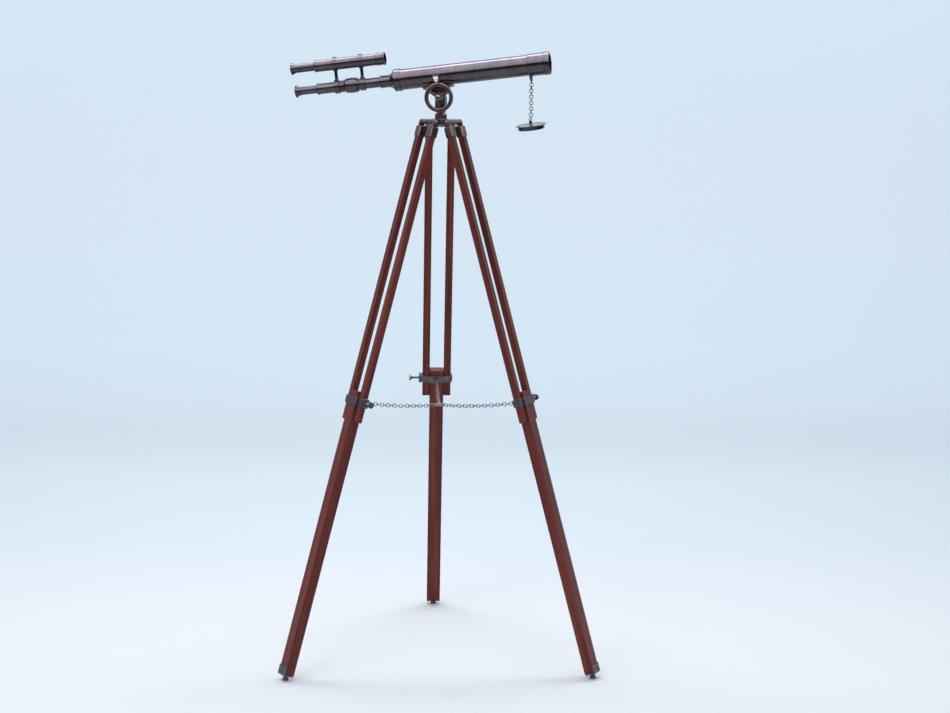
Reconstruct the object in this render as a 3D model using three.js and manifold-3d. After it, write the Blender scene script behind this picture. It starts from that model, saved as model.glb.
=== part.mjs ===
// A floor-standing telescope on a three-legged wooden tripod.
//
// Millimetres, +Z up. The tripod head's axis is the Z axis while the object is built; the whole
// group is then moved so that its origin is the middle of the bottom of its bounding box. The tube
// points roughly along +X, and the back leg stands on the +Y side.

import * as THREE from 'three';
import { mergeVertices } from 'three/addons/utils/BufferGeometryUtils.js';
import Module from 'manifold-3d';

const wasm = await Module();
wasm.setup();

// ---------------------------------------------------------------- driving dimensions

const GAP = 0.3;                     // clearance between pieces that touch

// Legs. Each leg is drawn hanging from its hinge: X across, Y outwards, Z up along the leg.
const HINGE_RADIUS = 36.6;
const HINGE_HEIGHT = 1439.5;
const FOOT_RADIUS = 466;
const BACK_LEG_TURN = 2.8;           // degrees that the tripod is turned on the floor
const STICK = { width: 20, depth: 16, spacing: 59, top: 17, bottom: 805, chamfer: 2 };
const LOWER_LEG = { width: 38.4, depth: 25.5, top: 726, bottom: 1486, chamfer: 1.5 };
const COLLAR = { depthAlong: 752, height: 20, wall: 3, lug: 7.5 };
const CLAMP_KNOB = { radius: 8.5, thickness: 5, reach: 31.4 };
const FERRULE = { top: 13.5, bottom: 40, wall: 2.4 };
const PIN_RADIUS = 3;
const EAR = { inner: 31.3, outer: 37.5, radius: 7.5 };
const BUTTON = { radius: 7.5, height: 18 };

// Tripod head and column.
const PLATE = { bottom: 1432.5, top: 1446.5, halfSide: 31, pocket: 14, pocketDepth: 6.3 };
const SPINDLE_RADIUS = 7;
const BASE_COLLAR = { radius: 15.8, top: 1461.5 };
const FORK = { width: 27, depth: 26, slot: 14, bottom: 1467, bowl: 14.3 };
const SHAFT_HEIGHT = 1503;
const SHAFT_RADIUS = 5;
const WHEEL = { radius: 38, rim: 10.5, rimDepth: 9, hub: 10.5, plane: -29.5, spoke: 6 };

// Telescope. Places along the tube are measured from the cross bolt, forwards positive.
const TUBE_YAW = 10;                 // degrees that the front is turned towards -Y
const TUBE_TILT = 6.8;               // degrees that the front is raised
const AXIS_OFFSET = 57;              // from the cross bolt up to the tube's axis
const STRAP = { place: -2, width: 18, reach: 92, screw: 72 };   // angles up from the lowest point
const MAIN = { radius: 27, wall: 2, back: -113, front: 262 };
const SLEEVE = { radius: 29.2, wall: 1.9, back: 238, front: 281.4 };
const BEZEL = { radius: 30.2, mouth: 25, front: 295.5 };
const DRAW = { radius: 13.5, wall: 1.5, back: -264.5, front: -50 };
const EYE_SLEEVE = { radius: 14.2, bore: 11.3, back: -328.7 };
const FINDER_OFFSET = 59.5;          // from the main axis up to the finder's axis
const FINDER = { radius: 15.3, bore: 12, back: -329, front: -159.7 };
const REAR_RING = -273.5;
const FRONT_RING = -203.5;
const RING_WIDTH = 13;

// Dust cap and the chains.
const LUG_PLACE = 242;
const CAP = { flange: 39.5, skirt: 34.6, bore: 33, height: 12, chain: 98.5 };
const CHAIN_RADIUS = 2;
const CHAIN_SAG = 5;
const CENTRE_RING = { radius: 15, wire: 2, height: 687 };

const SEGMENTS = 28;
const rad = THREE.MathUtils.degToRad;
const SPLAY = Math.atan2(FOOT_RADIUS - HINGE_RADIUS, HINGE_HEIGHT);

// The chain's eye on each collar, in the leg's frame.
const EYE_RADIUS = 4.5;
const EYE_Y = -(LOWER_LEG.depth / 2 + GAP + COLLAR.wall + 5);

// ---------------------------------------------------------------- materials

const bronze = new THREE.MeshStandardMaterial({ color: 0x4a4248, roughness: 0.28, metalness: 1 });
const darkIron = new THREE.MeshStandardMaterial({ color: 0x2c2a30, roughness: 0.5, metalness: 0.9 });
const polished = new THREE.MeshStandardMaterial({ color: 0xd8d6dc, roughness: 0.2, metalness: 1 });
const mahogany = new THREE.MeshStandardMaterial({ color: 0x6e3a2e, roughness: 0.45, metalness: 0 });
const glass = new THREE.MeshStandardMaterial({ color: 0x9fb4c4, roughness: 0.05, metalness: 0 });

// ---------------------------------------------------------------- solids

function toSolid(geometry) {
  const bare = geometry.clone();
  bare.deleteAttribute('normal');
  bare.deleteAttribute('uv');
  const merged = mergeVertices(bare, 1e-3);
  return new wasm.Manifold(new wasm.Mesh({
    numProp: 3,
    vertProperties: Float32Array.from(merged.attributes.position.array),
    triVerts: Uint32Array.from(merged.index.array),
  }));
}

function toGeometry(solid) {
  const mesh = solid.getMesh();
  const geometry = new THREE.BufferGeometry();
  geometry.setAttribute('position', new THREE.BufferAttribute(mesh.vertProperties, 3));
  geometry.setIndex(new THREE.BufferAttribute(mesh.triVerts, 1));
  geometry.computeVertexNormals();
  return geometry;
}

const join = (...parts) => toGeometry(parts.map(toSolid).reduce((a, b) => a.add(b)));

const cut = (part, ...tools) => toGeometry(tools.map(toSolid).reduce((a, b) => a.subtract(b), toSolid(part)));

// A block between two corners.
function block(x0, x1, y0, y1, z0, z1) {
  const box = new THREE.BoxGeometry(x1 - x0, y1 - y0, z1 - z0);
  return box.translate((x0 + x1) / 2, (y0 + y1) / 2, (z0 + z1) / 2);
}

// A solid of revolution about X. The profile is a closed loop of [place, radius] points that goes
// forwards on the outside and back on the inside or along the axis.
function turnedX(profile, segments = SEGMENTS) {
  const points = profile.map(([place, radius]) => new THREE.Vector2(radius, place));
  if (profile[0][1] > 0) points.push(points[0].clone());
  return new THREE.LatheGeometry(points, segments).rotateZ(-Math.PI / 2);
}

// The same about Z: the profile is [height, radius], up the outside.
function turnedZ(profile, segments = SEGMENTS) {
  return turnedX(profile, segments).rotateY(-Math.PI / 2);
}

// A plain tube along X.
function tubeX(back, front, outer, inner) {
  return turnedX([[back, outer], [front, outer], [front, inner], [back, inner]]);
}

// A round bar along 'x', 'y' or 'z' from one place to another, its axis through (a, b) in the
// other two coordinates.
function bar(along, from, to, radius, a = 0, b = 0, segments = 20) {
  const rod = new THREE.CylinderGeometry(radius, radius, to - from, segments);
  const middle = (from + to) / 2;
  if (along === 'x') return rod.rotateZ(-Math.PI / 2).translate(middle, a, b);
  if (along === 'y') return rod.translate(a, middle, b);
  return rod.rotateX(Math.PI / 2).translate(a, b, middle);
}

// A square-cut beam along Z with chamfered long edges, centred on x.
function beam(x, width, depth, chamfer, bottom, top) {
  const w = width / 2;
  const d = depth / 2;
  const outline = new THREE.Shape([
    [w - chamfer, -d], [w, chamfer - d], [w, d - chamfer], [w - chamfer, d],
    [chamfer - w, d], [-w, d - chamfer], [-w, chamfer - d], [chamfer - w, -d],
  ].map(([px, py]) => new THREE.Vector2(px, py)));
  const solid = new THREE.ExtrudeGeometry(outline, { depth: top - bottom, bevelEnabled: false });
  return solid.translate(x, 0, bottom);
}

// An outline in X and Z, given a thickness along Y about the X-Z plane.
function upright(points, thickness) {
  const outline = new THREE.Shape(points.map(([x, z]) => new THREE.Vector2(x, z)));
  const solid = new THREE.ExtrudeGeometry(outline, { depth: thickness, bevelEnabled: false });
  return solid.translate(0, 0, -thickness / 2).rotateX(Math.PI / 2);
}

// A thin round bar that follows a curve.
function alongCurve(points, radius, steps) {
  const outline = new THREE.Shape();
  outline.absarc(0, 0, radius, 0, 2 * Math.PI);
  const path = new THREE.CatmullRomCurve3(points);
  const options = { steps, bevelEnabled: false, curveSegments: 4, extrudePath: path };
  return new THREE.ExtrudeGeometry(outline, options);
}

function put(group, name, geometry, material) {
  const mesh = new THREE.Mesh(geometry, material);
  mesh.name = name;
  group.add(mesh);
}

// ---------------------------------------------------------------- tripod head

function headPlate() {
  const sides = [0, 1, 2].map((side) => rad(BACK_LEG_TURN + 120 * side));
  const corners = [];
  for (const turn of sides) {
    for (const x of [PLATE.halfSide, -PLATE.halfSide]) {
      corners.push(new THREE.Vector2(x, HINGE_RADIUS).rotateAround(new THREE.Vector2(), turn));
    }
  }
  const thickness = PLATE.top - PLATE.bottom;
  const outline = new THREE.Shape(corners);
  const slab = new THREE.ExtrudeGeometry(outline, { depth: thickness, bevelEnabled: false });
  slab.translate(0, 0, PLATE.bottom);
  const edges = sides.map((turn) =>
    bar('x', -PLATE.halfSide, PLATE.halfSide, thickness / 2, HINGE_RADIUS, HINGE_HEIGHT, 16).rotateZ(turn));
  const bores = sides.map((turn) =>
    bar('x', -60, 60, PIN_RADIUS + GAP, HINGE_RADIUS, HINGE_HEIGHT, 12).rotateZ(turn));
  const notchY = HINGE_RADIUS - EAR.radius - 1;
  const notches = sides.flatMap((turn) => [
    block(PLATE.halfSide, 70, notchY, 70, PLATE.bottom - 5, PLATE.top + 5).rotateZ(turn),
    block(-70, -PLATE.halfSide, notchY, 70, PLATE.bottom - 5, PLATE.top + 5).rotateZ(turn),
  ]);
  const middle = bar('z', PLATE.bottom - 1, PLATE.top + 1, SPINDLE_RADIUS + GAP);
  const pocket = bar('z', PLATE.bottom - 1, PLATE.bottom + PLATE.pocketDepth, PLATE.pocket, 0, 0, 32);
  return cut(join(slab, ...edges), ...notches, ...bores, middle, pocket);
}

function addHead(root) {
  put(root, 'head_plate', headPlate(), bronze);
  const ringBottom = PLATE.top + GAP;
  const bore = SPINDLE_RADIUS + GAP;
  put(root, 'base_collar', turnedZ([
    [ringBottom, BASE_COLLAR.radius - 1], [ringBottom + 1, BASE_COLLAR.radius],
    [BASE_COLLAR.top - 1.5, BASE_COLLAR.radius], [BASE_COLLAR.top, BASE_COLLAR.radius - 1.5],
    [BASE_COLLAR.top, bore], [ringBottom, bore],
  ]), bronze);
}

// ---------------------------------------------------------------- column, bolt and wheel

// A spindle through the plate, a short neck, a rounded bowl, and the slotted fork on the bowl.
function column() {
  const foot = BASE_COLLAR.top + GAP;
  const { bottom, bowl } = FORK;
  const stem = turnedZ([
    [PLATE.bottom + GAP, 0], [PLATE.bottom + GAP, SPINDLE_RADIUS], [foot, SPINDLE_RADIUS],
    [foot, 11.8], [bottom - 1, 11.8], [bottom, 12.5], [bottom + 3, bowl], [bottom + 9, bowl],
    [bottom + 13, 13], [bottom + 13, 0],
  ]);
  const side = FORK.width / 2;
  const front = FORK.depth / 2;
  const body = block(-side, side, -front, front, FORK.bottom, SHAFT_HEIGHT);
  const top = bar('y', -front, front, side, 0, SHAFT_HEIGHT, 28);
  const slot = block(-side - 1, side + 1, -FORK.slot / 2, FORK.slot / 2, SHAFT_HEIGHT - 16, SHAFT_HEIGHT + 20);
  const bore = bar('y', -front - 1, front + 1, SHAFT_RADIUS + GAP, 0, SHAFT_HEIGHT);
  return cut(join(stem, body, top), slot, bore);
}

// The nut that holds the spindle from below sits in the plate's pocket.
function columnNut() {
  const top = PLATE.bottom + PLATE.pocketDepth - GAP;
  const nut = new THREE.CylinderGeometry(12.5, 12.5, 5.5, 6).rotateX(Math.PI / 2).translate(0, 0, top - 2.75);
  return cut(nut, bar('z', top - 12, top + 2, SPINDLE_RADIUS + GAP));
}

function tiltBolt() {
  const back = FORK.depth / 2 + GAP;
  const head = new THREE.CylinderGeometry(10.5, 10.5, 7, 6).translate(0, back + 3.5, SHAFT_HEIGHT);
  return join(head, bar('y', WHEEL.plane - 10, back + 1, SHAFT_RADIUS, 0, SHAFT_HEIGHT));
}

function handWheel() {
  const centre = WHEEL.radius - WHEEL.rim / 2;
  const section = 8;
  const profile = [];
  for (let i = 0; i < section; i += 1) {
    const angle = (2 * Math.PI * i) / section;
    const across = centre + (WHEEL.rim / 2) * Math.cos(angle);
    profile.push([(WHEEL.rimDepth / 2) * Math.sin(angle), across]);
  }
  const rim = turnedX(profile, 36).rotateZ(Math.PI / 2);
  const hub = bar('y', -5.5, -FORK.depth / 2 - GAP - WHEEL.plane, WHEEL.hub, 0, 0, 24);
  const spokes = [30, 150, 270].map((angle) =>
    block(4, centre, -3, 3, -WHEEL.spoke / 2, WHEEL.spoke / 2).rotateY(-rad(angle)));
  const wheel = cut(join(rim, hub, ...spokes), bar('y', -20, 40, SHAFT_RADIUS + GAP));
  return wheel.translate(0, WHEEL.plane, SHAFT_HEIGHT);
}

function wheelNut() {
  const face = WHEEL.plane - 5.5 - GAP;
  const nut = turnedX([
    [0, 0], [0, 8.5], [4, 8.5], [6.5, 7], [8.5, 3.5], [9, 0],
  ], 24).rotateZ(-Math.PI / 2).translate(0, face, SHAFT_HEIGHT);
  return cut(nut, bar('y', WHEEL.plane - 10 - GAP, face + 1, SHAFT_RADIUS + GAP, 0, SHAFT_HEIGHT));
}

function addColumn(head) {
  put(head, 'column', column(), bronze);
  put(head, 'column_nut', columnNut(), darkIron);
  put(head, 'tilt_bolt', tiltBolt(), darkIron);
  put(head, 'hand_wheel', handWheel(), darkIron);
  put(head, 'wheel_nut', wheelNut(), polished);
}

// ---------------------------------------------------------------- telescope

// The saddle is drawn with the cross bolt at the origin and the tube's axis AXIS_OFFSET above it.
// A cradle under the tube, a narrow strap up its -Y side, and a lug down to the cross bolt.
function saddle() {
  const inner = MAIN.radius + GAP;
  const outer = inner + 4.7;
  const reach = rad(52);
  const outline = new THREE.Shape();
  outline.absarc(0, 0, outer, -Math.PI / 2 - reach, -Math.PI / 2 + reach, false);
  outline.absarc(0, 0, inner, -Math.PI / 2 + reach, -Math.PI / 2 - reach, true);
  const cradle = new THREE.ExtrudeGeometry(outline, { depth: 78, bevelEnabled: false, curveSegments: 10 });
  cradle.rotateY(Math.PI / 2).rotateX(Math.PI / 2).translate(-42, 0, AXIS_OFFSET);
  const strap = new THREE.Shape();
  strap.absarc(0, 0, outer, -Math.PI / 2 - rad(STRAP.reach), -Math.PI / 2, false);
  strap.absarc(0, 0, inner, -Math.PI / 2, -Math.PI / 2 - rad(STRAP.reach), true);
  const ear = new THREE.ExtrudeGeometry(strap, { depth: STRAP.width, bevelEnabled: false, curveSegments: 10 });
  ear.rotateY(Math.PI / 2).rotateX(Math.PI / 2).translate(STRAP.place - STRAP.width / 2, 0, AXIS_OFFSET);
  const lugTop = AXIS_OFFSET - inner - 2;
  const lug = upright([[-10, -6], [10, -6], [13, 0], [31, lugTop], [-31, lugTop], [-13, 0]], 13.4);
  const nose = bar('y', -6.7, 6.7, 13, 0, 0, 24);
  return cut(join(cradle, ear, lug, nose), bar('y', -10, 10, SHAFT_RADIUS + GAP));
}

// A round-headed screw on the saddle's strap, square to the tube's surface.
function saddleScrew() {
  const root = MAIN.radius + 5 + GAP;
  const screw = turnedZ([[root, 0], [root, 6], [root + 2, 6], [root + 4, 4], [root + 5, 0]], 16);
  return screw.rotateX(rad(180 - STRAP.screw)).translate(STRAP.place, 0, AXIS_OFFSET);
}

function rearFlange() {
  return turnedX([
    [-127, 18], [-120, 23], [-119, 26.5], [-116, 28.6], [-112, 29.2], [-104, 29.2], [-101, 28.4],
    [-98.5, 28.4], [-98.5, MAIN.radius + GAP], [MAIN.back - GAP, MAIN.radius + GAP],
    [MAIN.back - GAP, 15.4], [-127, 15.4],
  ]);
}

function rearStage() {
  const bore = DRAW.radius + GAP;
  return turnedX([
    [-156, 16], [-155, 16.8], [-128.3, 16.8], [-127.3, 16.2],
    [-127.3, 15.1], [-108, 15.1], [-108, bore], [-156, bore],
  ]);
}

// The drum swells in the middle and narrows to a neck at each end.
function drum() {
  const bore = DRAW.radius + GAP;
  const profile = [[DRAW.back, 14.4], [-253, 14.4], [-252, 17.5]];
  for (let i = 0; i <= 5; i += 1) {
    const t = i / 5;
    profile.push([-250.5 + 33 * t, 18.6 + 2.1 * Math.sin(Math.PI * t)]);
  }
  profile.push([-216, 17.5], [-215, 14.6], [-210.5, 14.6], [-210.5, bore], [DRAW.back, bore]);
  return turnedX(profile);
}

function eyepiece() {
  return turnedX([
    [-387.5, 16.4], [-386, 16.9], [-384, 16.4], [-380.5, 13], [-375.5, 11], [-371, 10.9],
    [-292, 10.9], [-292, 9], [-376.5, 9], [-384.5, 13.6],
  ]);
}

function finderTube() {
  return turnedX([
    [FINDER.back, 13.5], [-326, FINDER.radius + 0.6], [-322, FINDER.radius + 0.6], [-320, FINDER.radius],
    [FINDER.front, FINDER.radius], [FINDER.front, FINDER.bore], [FINDER.back, FINDER.bore],
  ]);
}

function finderEyepiece() {
  return turnedX([
    [-392.5, 15.6], [-391, 16.1], [-388.5, 15.6], [-383.5, 12.4], [-377.5, 11.5],
    [-300, 11.5], [-300, 9.5], [-380.5, 9.5], [-389.5, 12.8],
  ]);
}

// A ring round each telescope and a round post between the rings.
function finderBracket(place, mainBore, mainRadius) {
  const half = RING_WIDTH / 2;
  const finderBore = FINDER.radius + GAP;
  const lower = bar('x', -half, half, mainRadius, 0, 0, SEGMENTS);
  const upper = bar('x', -half, half, 17.2, 0, FINDER_OFFSET, SEGMENTS);
  const post = bar('z', mainRadius - 2, FINDER_OFFSET - 15, 4.2, 0, 0, 16);
  const solid = cut(
    join(lower, upper, post),
    bar('x', -20, 20, mainBore, 0, 0, 32),
    bar('x', -20, 20, finderBore, 0, FINDER_OFFSET, 32),
  );
  return solid.translate(place, 0, 0);
}

function lens(place, radius, thickness, bulge) {
  return turnedX([
    [place - thickness / 2, 0], [place - thickness / 2, radius], [place + thickness / 2, radius],
    [place + thickness / 2 + bulge * 0.75, radius * 0.5], [place + thickness / 2 + bulge, 0],
  ]);
}

function addMainTelescope(axis) {
  put(axis, 'main_tube', tubeX(MAIN.back, MAIN.front, MAIN.radius, MAIN.radius - MAIN.wall), bronze);
  const sleeveBore = SLEEVE.radius - SLEEVE.wall;
  put(axis, 'objective_sleeve', tubeX(SLEEVE.back, SLEEVE.front, SLEEVE.radius, sleeveBore), bronze);
  put(axis, 'objective_bezel', turnedX([
    [SLEEVE.front + GAP, BEZEL.radius], [BEZEL.front - 5, BEZEL.radius], [BEZEL.front, BEZEL.radius - 2],
    [BEZEL.front, BEZEL.mouth + 1], [BEZEL.front - 1, BEZEL.mouth], [SLEEVE.front + GAP, BEZEL.mouth],
  ]), bronze);
  put(axis, 'objective_lens', lens(268, sleeveBore - GAP, 5, 2.5), glass);
  put(axis, 'rear_flange', rearFlange(), bronze);
  put(axis, 'rear_stage', rearStage(), bronze);
}

function addDrawAssembly(axis) {
  const { radius, wall, back, front } = DRAW;
  put(axis, 'draw_tube', tubeX(back, front, radius, radius - wall), bronze);
  put(axis, 'relay_drum', drum(), bronze);
  const sleeveFront = back - GAP;
  put(axis, 'eyepiece_sleeve', tubeX(EYE_SLEEVE.back, sleeveFront, EYE_SLEEVE.radius, EYE_SLEEVE.bore), bronze);
  put(axis, 'eyepiece', eyepiece(), bronze);
  put(axis, 'eyepiece_lens', lens(-372.5, 8.7, 3, 1), glass);
  put(axis, 'finder_bracket_rear', finderBracket(REAR_RING, EYE_SLEEVE.radius + GAP, 18), bronze);
  put(axis, 'finder_bracket_front', finderBracket(FRONT_RING, radius + GAP, 17.4), bronze);
}

function addFinder(axis) {
  put(axis, 'finder_tube', finderTube(), bronze);
  put(axis, 'finder_bezel', turnedX([
    [FINDER.front + GAP, 16.6], [-153.5, 16], [-140.5, 16], [-138.5, 16.9], [-137, 16.6],
    [-137, 13.6], [FINDER.front + GAP, 13.6],
  ]), bronze);
  put(axis, 'finder_lens', lens(-151.5, 13.3, 4, 1.5), glass);
  put(axis, 'finder_eyepiece', finderEyepiece(), bronze);
}

// ---------------------------------------------------------------- dust cap

function dustCap() {
  const plate = 2.5;
  return turnedZ([
    [-plate, 0], [-plate, CAP.bore - 0.5], [-CAP.height, CAP.bore], [-CAP.height, CAP.skirt],
    [-plate, CAP.skirt], [-plate, CAP.flange], [-0.8, CAP.flange], [0, CAP.flange - 1],
    [0, 6], [2, 4.5], [9, 4.2], [11, 2.5], [11, 0],
  ], 32);
}

function capLug() {
  const top = AXIS_OFFSET - SLEEVE.radius - GAP;
  const lug = join(block(-4, 4, -4, 4, top - 3, top), block(-1.5, 1.5, -4, 4, top - 11, top - 2));
  return cut(lug.translate(LUG_PLACE, 0, 0), bar('x', LUG_PLACE - 6, LUG_PLACE + 6, 2, 0, top - 8, 12));
}

function addCap(tube) {
  put(tube, 'cap_lug', capLug(), darkIron);
  const hanging = new THREE.Group();
  const lugEnd = AXIS_OFFSET - SLEEVE.radius - 12;
  hanging.position.set(LUG_PLACE, 0, lugEnd);
  hanging.rotation.y = rad(TUBE_TILT);
  tube.add(hanging);
  const chainTop = -1;
  const chain = alongCurve(
    [new THREE.Vector3(0, 0, chainTop), new THREE.Vector3(0, 0, chainTop - CAP.chain)], CHAIN_RADIUS, 4);
  put(hanging, 'cap_chain', chain, darkIron);
  const cap = new THREE.Group();
  cap.position.set(0, 0, chainTop - CAP.chain - 12);
  cap.rotation.set(rad(6.6), -rad(6.5), 0);
  hanging.add(cap);
  put(cap, 'dust_cap', dustCap(), bronze);
}

// ---------------------------------------------------------------- legs

function legBracket() {
  const w = STICK.width / 2 + FERRULE.wall + GAP;
  const d = STICK.depth / 2 + FERRULE.wall + GAP;
  const x = STICK.spacing / 2;
  const parts = [];
  const sockets = [];
  for (const side of [-1, 1]) {
    parts.push(block(side * x - w, side * x + w, -d, d, -FERRULE.bottom, -FERRULE.top));
    const socket = FERRULE.wall;
    const depth = -STICK.top + GAP;
    sockets.push(block(side * x - w + socket, side * x + w - socket, -d + socket, d - socket,
      -FERRULE.bottom - 1, depth));
    const near = side > 0 ? EAR.inner : -EAR.outer;
    const far = near + EAR.outer - EAR.inner;
    parts.push(block(near, far, -EAR.radius, EAR.radius, -FERRULE.top - 1, 0));
    parts.push(bar('x', near, far, EAR.radius, 0, 0, 16));
  }
  parts.push(block(-EAR.inner - 1, EAR.inner + 1, -3, 3, -FERRULE.top - 1, -FERRULE.top + 3.2));
  return cut(join(...parts), ...sockets, bar('x', -60, 60, PIN_RADIUS + GAP, 0, 0, 12));
}

function hingePin() {
  const end = EAR.outer + GAP;
  return join(
    bar('x', -end - 1, end + 1, PIN_RADIUS, 0, 0, 12),
    bar('x', end, end + 3, 5.2, 0, 0, 12),
    bar('x', -end - 3, -end, 5.2, 0, 0, 12),
  );
}

// A band that follows both sticks and the deeper lower leg between them, with a threaded lug for
// the clamp screw on one side, a low pad on the other, and the chain's round eye on the inner face.
function clampCollar() {
  const innerX = (STICK.spacing + STICK.width) / 2 + GAP;
  const sideY = STICK.depth / 2 + GAP;
  const midX = LOWER_LEG.width / 2 + GAP;
  const midY = LOWER_LEG.depth / 2 + GAP;
  const { wall } = COLLAR;
  const x = innerX + wall;
  const y = midY + wall;
  const h = COLLAR.height / 2;
  const middle = -COLLAR.depthAlong;
  const band = block(-x, x, -sideY - wall, sideY + wall, middle - h, middle + h);
  const waist = block(-midX - wall, midX + wall, -y, y, middle - h, middle + h);
  const hollow = block(-innerX, innerX, -sideY, sideY, middle - h - 1, middle + h + 1);
  const midHollow = block(-midX, midX, -midY, midY, middle - h - 1, middle + h + 1);
  const lug = block(-x - COLLAR.lug, 1 - x, -8, 8, middle - 12, middle + 12);
  const pad = block(x - 1, x + 1.5, -5, 5, middle - 7, middle + 7);
  const eyeRoot = block(-2, 2, EYE_Y, -y + 1, middle - EYE_RADIUS, middle + EYE_RADIUS);
  const eye = bar('x', -2, 2, EYE_RADIUS, EYE_Y, middle, 16);
  const eyeHole = bar('x', -5, 5, 2.2, EYE_Y, middle, 12);
  const thread = bar('x', -x - 12, 1 - innerX, PIN_RADIUS + GAP, 0, middle, 16);
  return cut(join(band, waist, lug, pad, eyeRoot, eye), hollow, midHollow, eyeHole, thread);
}

function clampScrew() {
  const start = (STICK.spacing + STICK.width) / 2 + 2 * GAP;
  const middle = -COLLAR.depthAlong;
  const { radius, thickness, reach } = CLAMP_KNOB;
  const shank = bar('x', -start - reach - 1, -start, PIN_RADIUS, 0, middle, 16);
  const knob = bar('x', -start - reach - thickness, -start - reach, radius, 0, middle, 24);
  return join(shank, knob);
}

function footBracket() {
  const face = LOWER_LEG.depth / 2 + GAP;
  const end = -LOWER_LEG.bottom - GAP;
  const half = LOWER_LEG.width / 2;
  const upperPlate = block(-half, half, face, face + 2.5, end - 2.8, end + 22);
  const lowerPlate = block(-half, half, -face + 2, face + 2.5, end - 2.8, end);
  return join(upperPlate, lowerPlate);
}

// A short round button that stands upright on the floor; its top is cut to the slope of the bracket.
function footButton() {
  const slope = block(-40, 40, -40, 40, 0, 60).rotateX(SPLAY);
  const gapBelow = LOWER_LEG.bottom + GAP + 2.8 + GAP;
  const plane = new THREE.Vector3(0, 0, -gapBelow).applyAxisAngle(new THREE.Vector3(1, 0, 0), SPLAY);
  slope.translate(plane.x, plane.y + HINGE_RADIUS, plane.z + HINGE_HEIGHT);
  const { radius, height } = BUTTON;
  const button = turnedZ([
    [0, 0], [0, radius - 1], [1, radius], [height, radius], [height, 0],
  ], 24).translate(0, FOOT_RADIUS - 2, 0);
  return cut(button, slope);
}

// The chain from a collar's eye to the centre ring, in the hub's own frame.
function legChain() {
  const eye = new THREE.Vector3(0, EYE_Y, -COLLAR.depthAlong);
  eye.applyAxisAngle(new THREE.Vector3(1, 0, 0), SPLAY).add(new THREE.Vector3(0, HINGE_RADIUS, HINGE_HEIGHT));
  const start = new THREE.Vector3(0, eye.y - EYE_RADIUS - 1, eye.z - 0.5);
  const end = new THREE.Vector3(0, CENTRE_RING.radius + CENTRE_RING.wire + 1.2, CENTRE_RING.height);
  const points = [];
  for (let i = 0; i <= 8; i += 1) {
    const t = i / 8;
    const sag = CHAIN_SAG * 4 * t * (1 - t);
    points.push(new THREE.Vector3().lerpVectors(start, end, t).add(new THREE.Vector3(0, 0, -sag)));
  }
  return alongCurve(points, CHAIN_RADIUS, 14);
}

function addLeg(root, name, turn) {
  const hub = new THREE.Group();
  hub.rotation.z = turn;
  root.add(hub);
  const leg = new THREE.Group();
  leg.position.set(0, HINGE_RADIUS, HINGE_HEIGHT);
  leg.rotation.x = SPLAY;
  hub.add(leg);
  put(leg, `${name}_leg_pin`, hingePin(), darkIron);
  put(leg, `${name}_leg_bracket`, legBracket(), bronze);
  for (const [side, x] of [['a', -1], ['b', 1]]) {
    const stick = beam(x * STICK.spacing / 2, STICK.width, STICK.depth, STICK.chamfer, -STICK.bottom, -STICK.top);
    put(leg, `${name}_upper_stick_${side}`, stick, mahogany);
  }
  const lower = beam(0, LOWER_LEG.width, LOWER_LEG.depth, LOWER_LEG.chamfer, -LOWER_LEG.bottom, -LOWER_LEG.top);
  put(leg, `${name}_lower_leg`, lower, mahogany);
  put(leg, `${name}_clamp_collar`, clampCollar(), darkIron);
  put(leg, `${name}_clamp_screw`, clampScrew(), darkIron);
  put(leg, `${name}_foot_bracket`, footBracket(), darkIron);
  put(hub, `${name}_foot_button`, footButton(), darkIron);
  put(hub, `${name}_leg_chain`, legChain(), darkIron);
}

// ---------------------------------------------------------------- the whole object

function build() {
  const root = new THREE.Group();
  addHead(root);
  const legs = { back: 0, right: -120, left: 120 };
  for (const [name, turn] of Object.entries(legs)) addLeg(root, name, rad(BACK_LEG_TURN + turn));
  const ring = new THREE.TorusGeometry(CENTRE_RING.radius, CENTRE_RING.wire, 6, 20);
  put(root, 'chain_ring', ring.translate(0, 0, CENTRE_RING.height), darkIron);

  const head = new THREE.Group();
  head.rotation.z = -rad(TUBE_YAW);
  root.add(head);
  addColumn(head);

  const tube = new THREE.Group();
  tube.position.z = SHAFT_HEIGHT;
  tube.rotation.y = -rad(TUBE_TILT);
  head.add(tube);
  put(tube, 'saddle', saddle(), bronze);
  put(tube, 'saddle_screw', saddleScrew(), polished);
  addCap(tube);

  const mainAxis = new THREE.Group();
  mainAxis.position.z = AXIS_OFFSET;
  tube.add(mainAxis);
  addMainTelescope(mainAxis);
  addDrawAssembly(mainAxis);
  const finderAxis = new THREE.Group();
  finderAxis.position.z = FINDER_OFFSET;
  mainAxis.add(finderAxis);
  addFinder(finderAxis);
  return root;
}

// Moves the object so that the middle of the bottom of its box is at the origin.
function centred(root) {
  root.updateMatrixWorld(true);
  const box = new THREE.Box3().setFromObject(root, true);
  root.position.set(-(box.min.x + box.max.x) / 2, -(box.min.y + box.max.y) / 2, -box.min.z);
  return root;
}

export default centred(build());
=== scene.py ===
# A floor-standing telescope on a three-legged wooden tripod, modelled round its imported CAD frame.
#
# Sizes are millimetres, in the same groups as the CAD: each leg hangs from its hinge with X across,
# Y outwards and Z up along the leg, and the places along a telescope are measured from the cross
# bolt, forwards positive. `add` turns a finished solid into metres and puts it in the row frame.

import math

import bmesh
import bpy
from mathutils import Matrix, Vector


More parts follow.
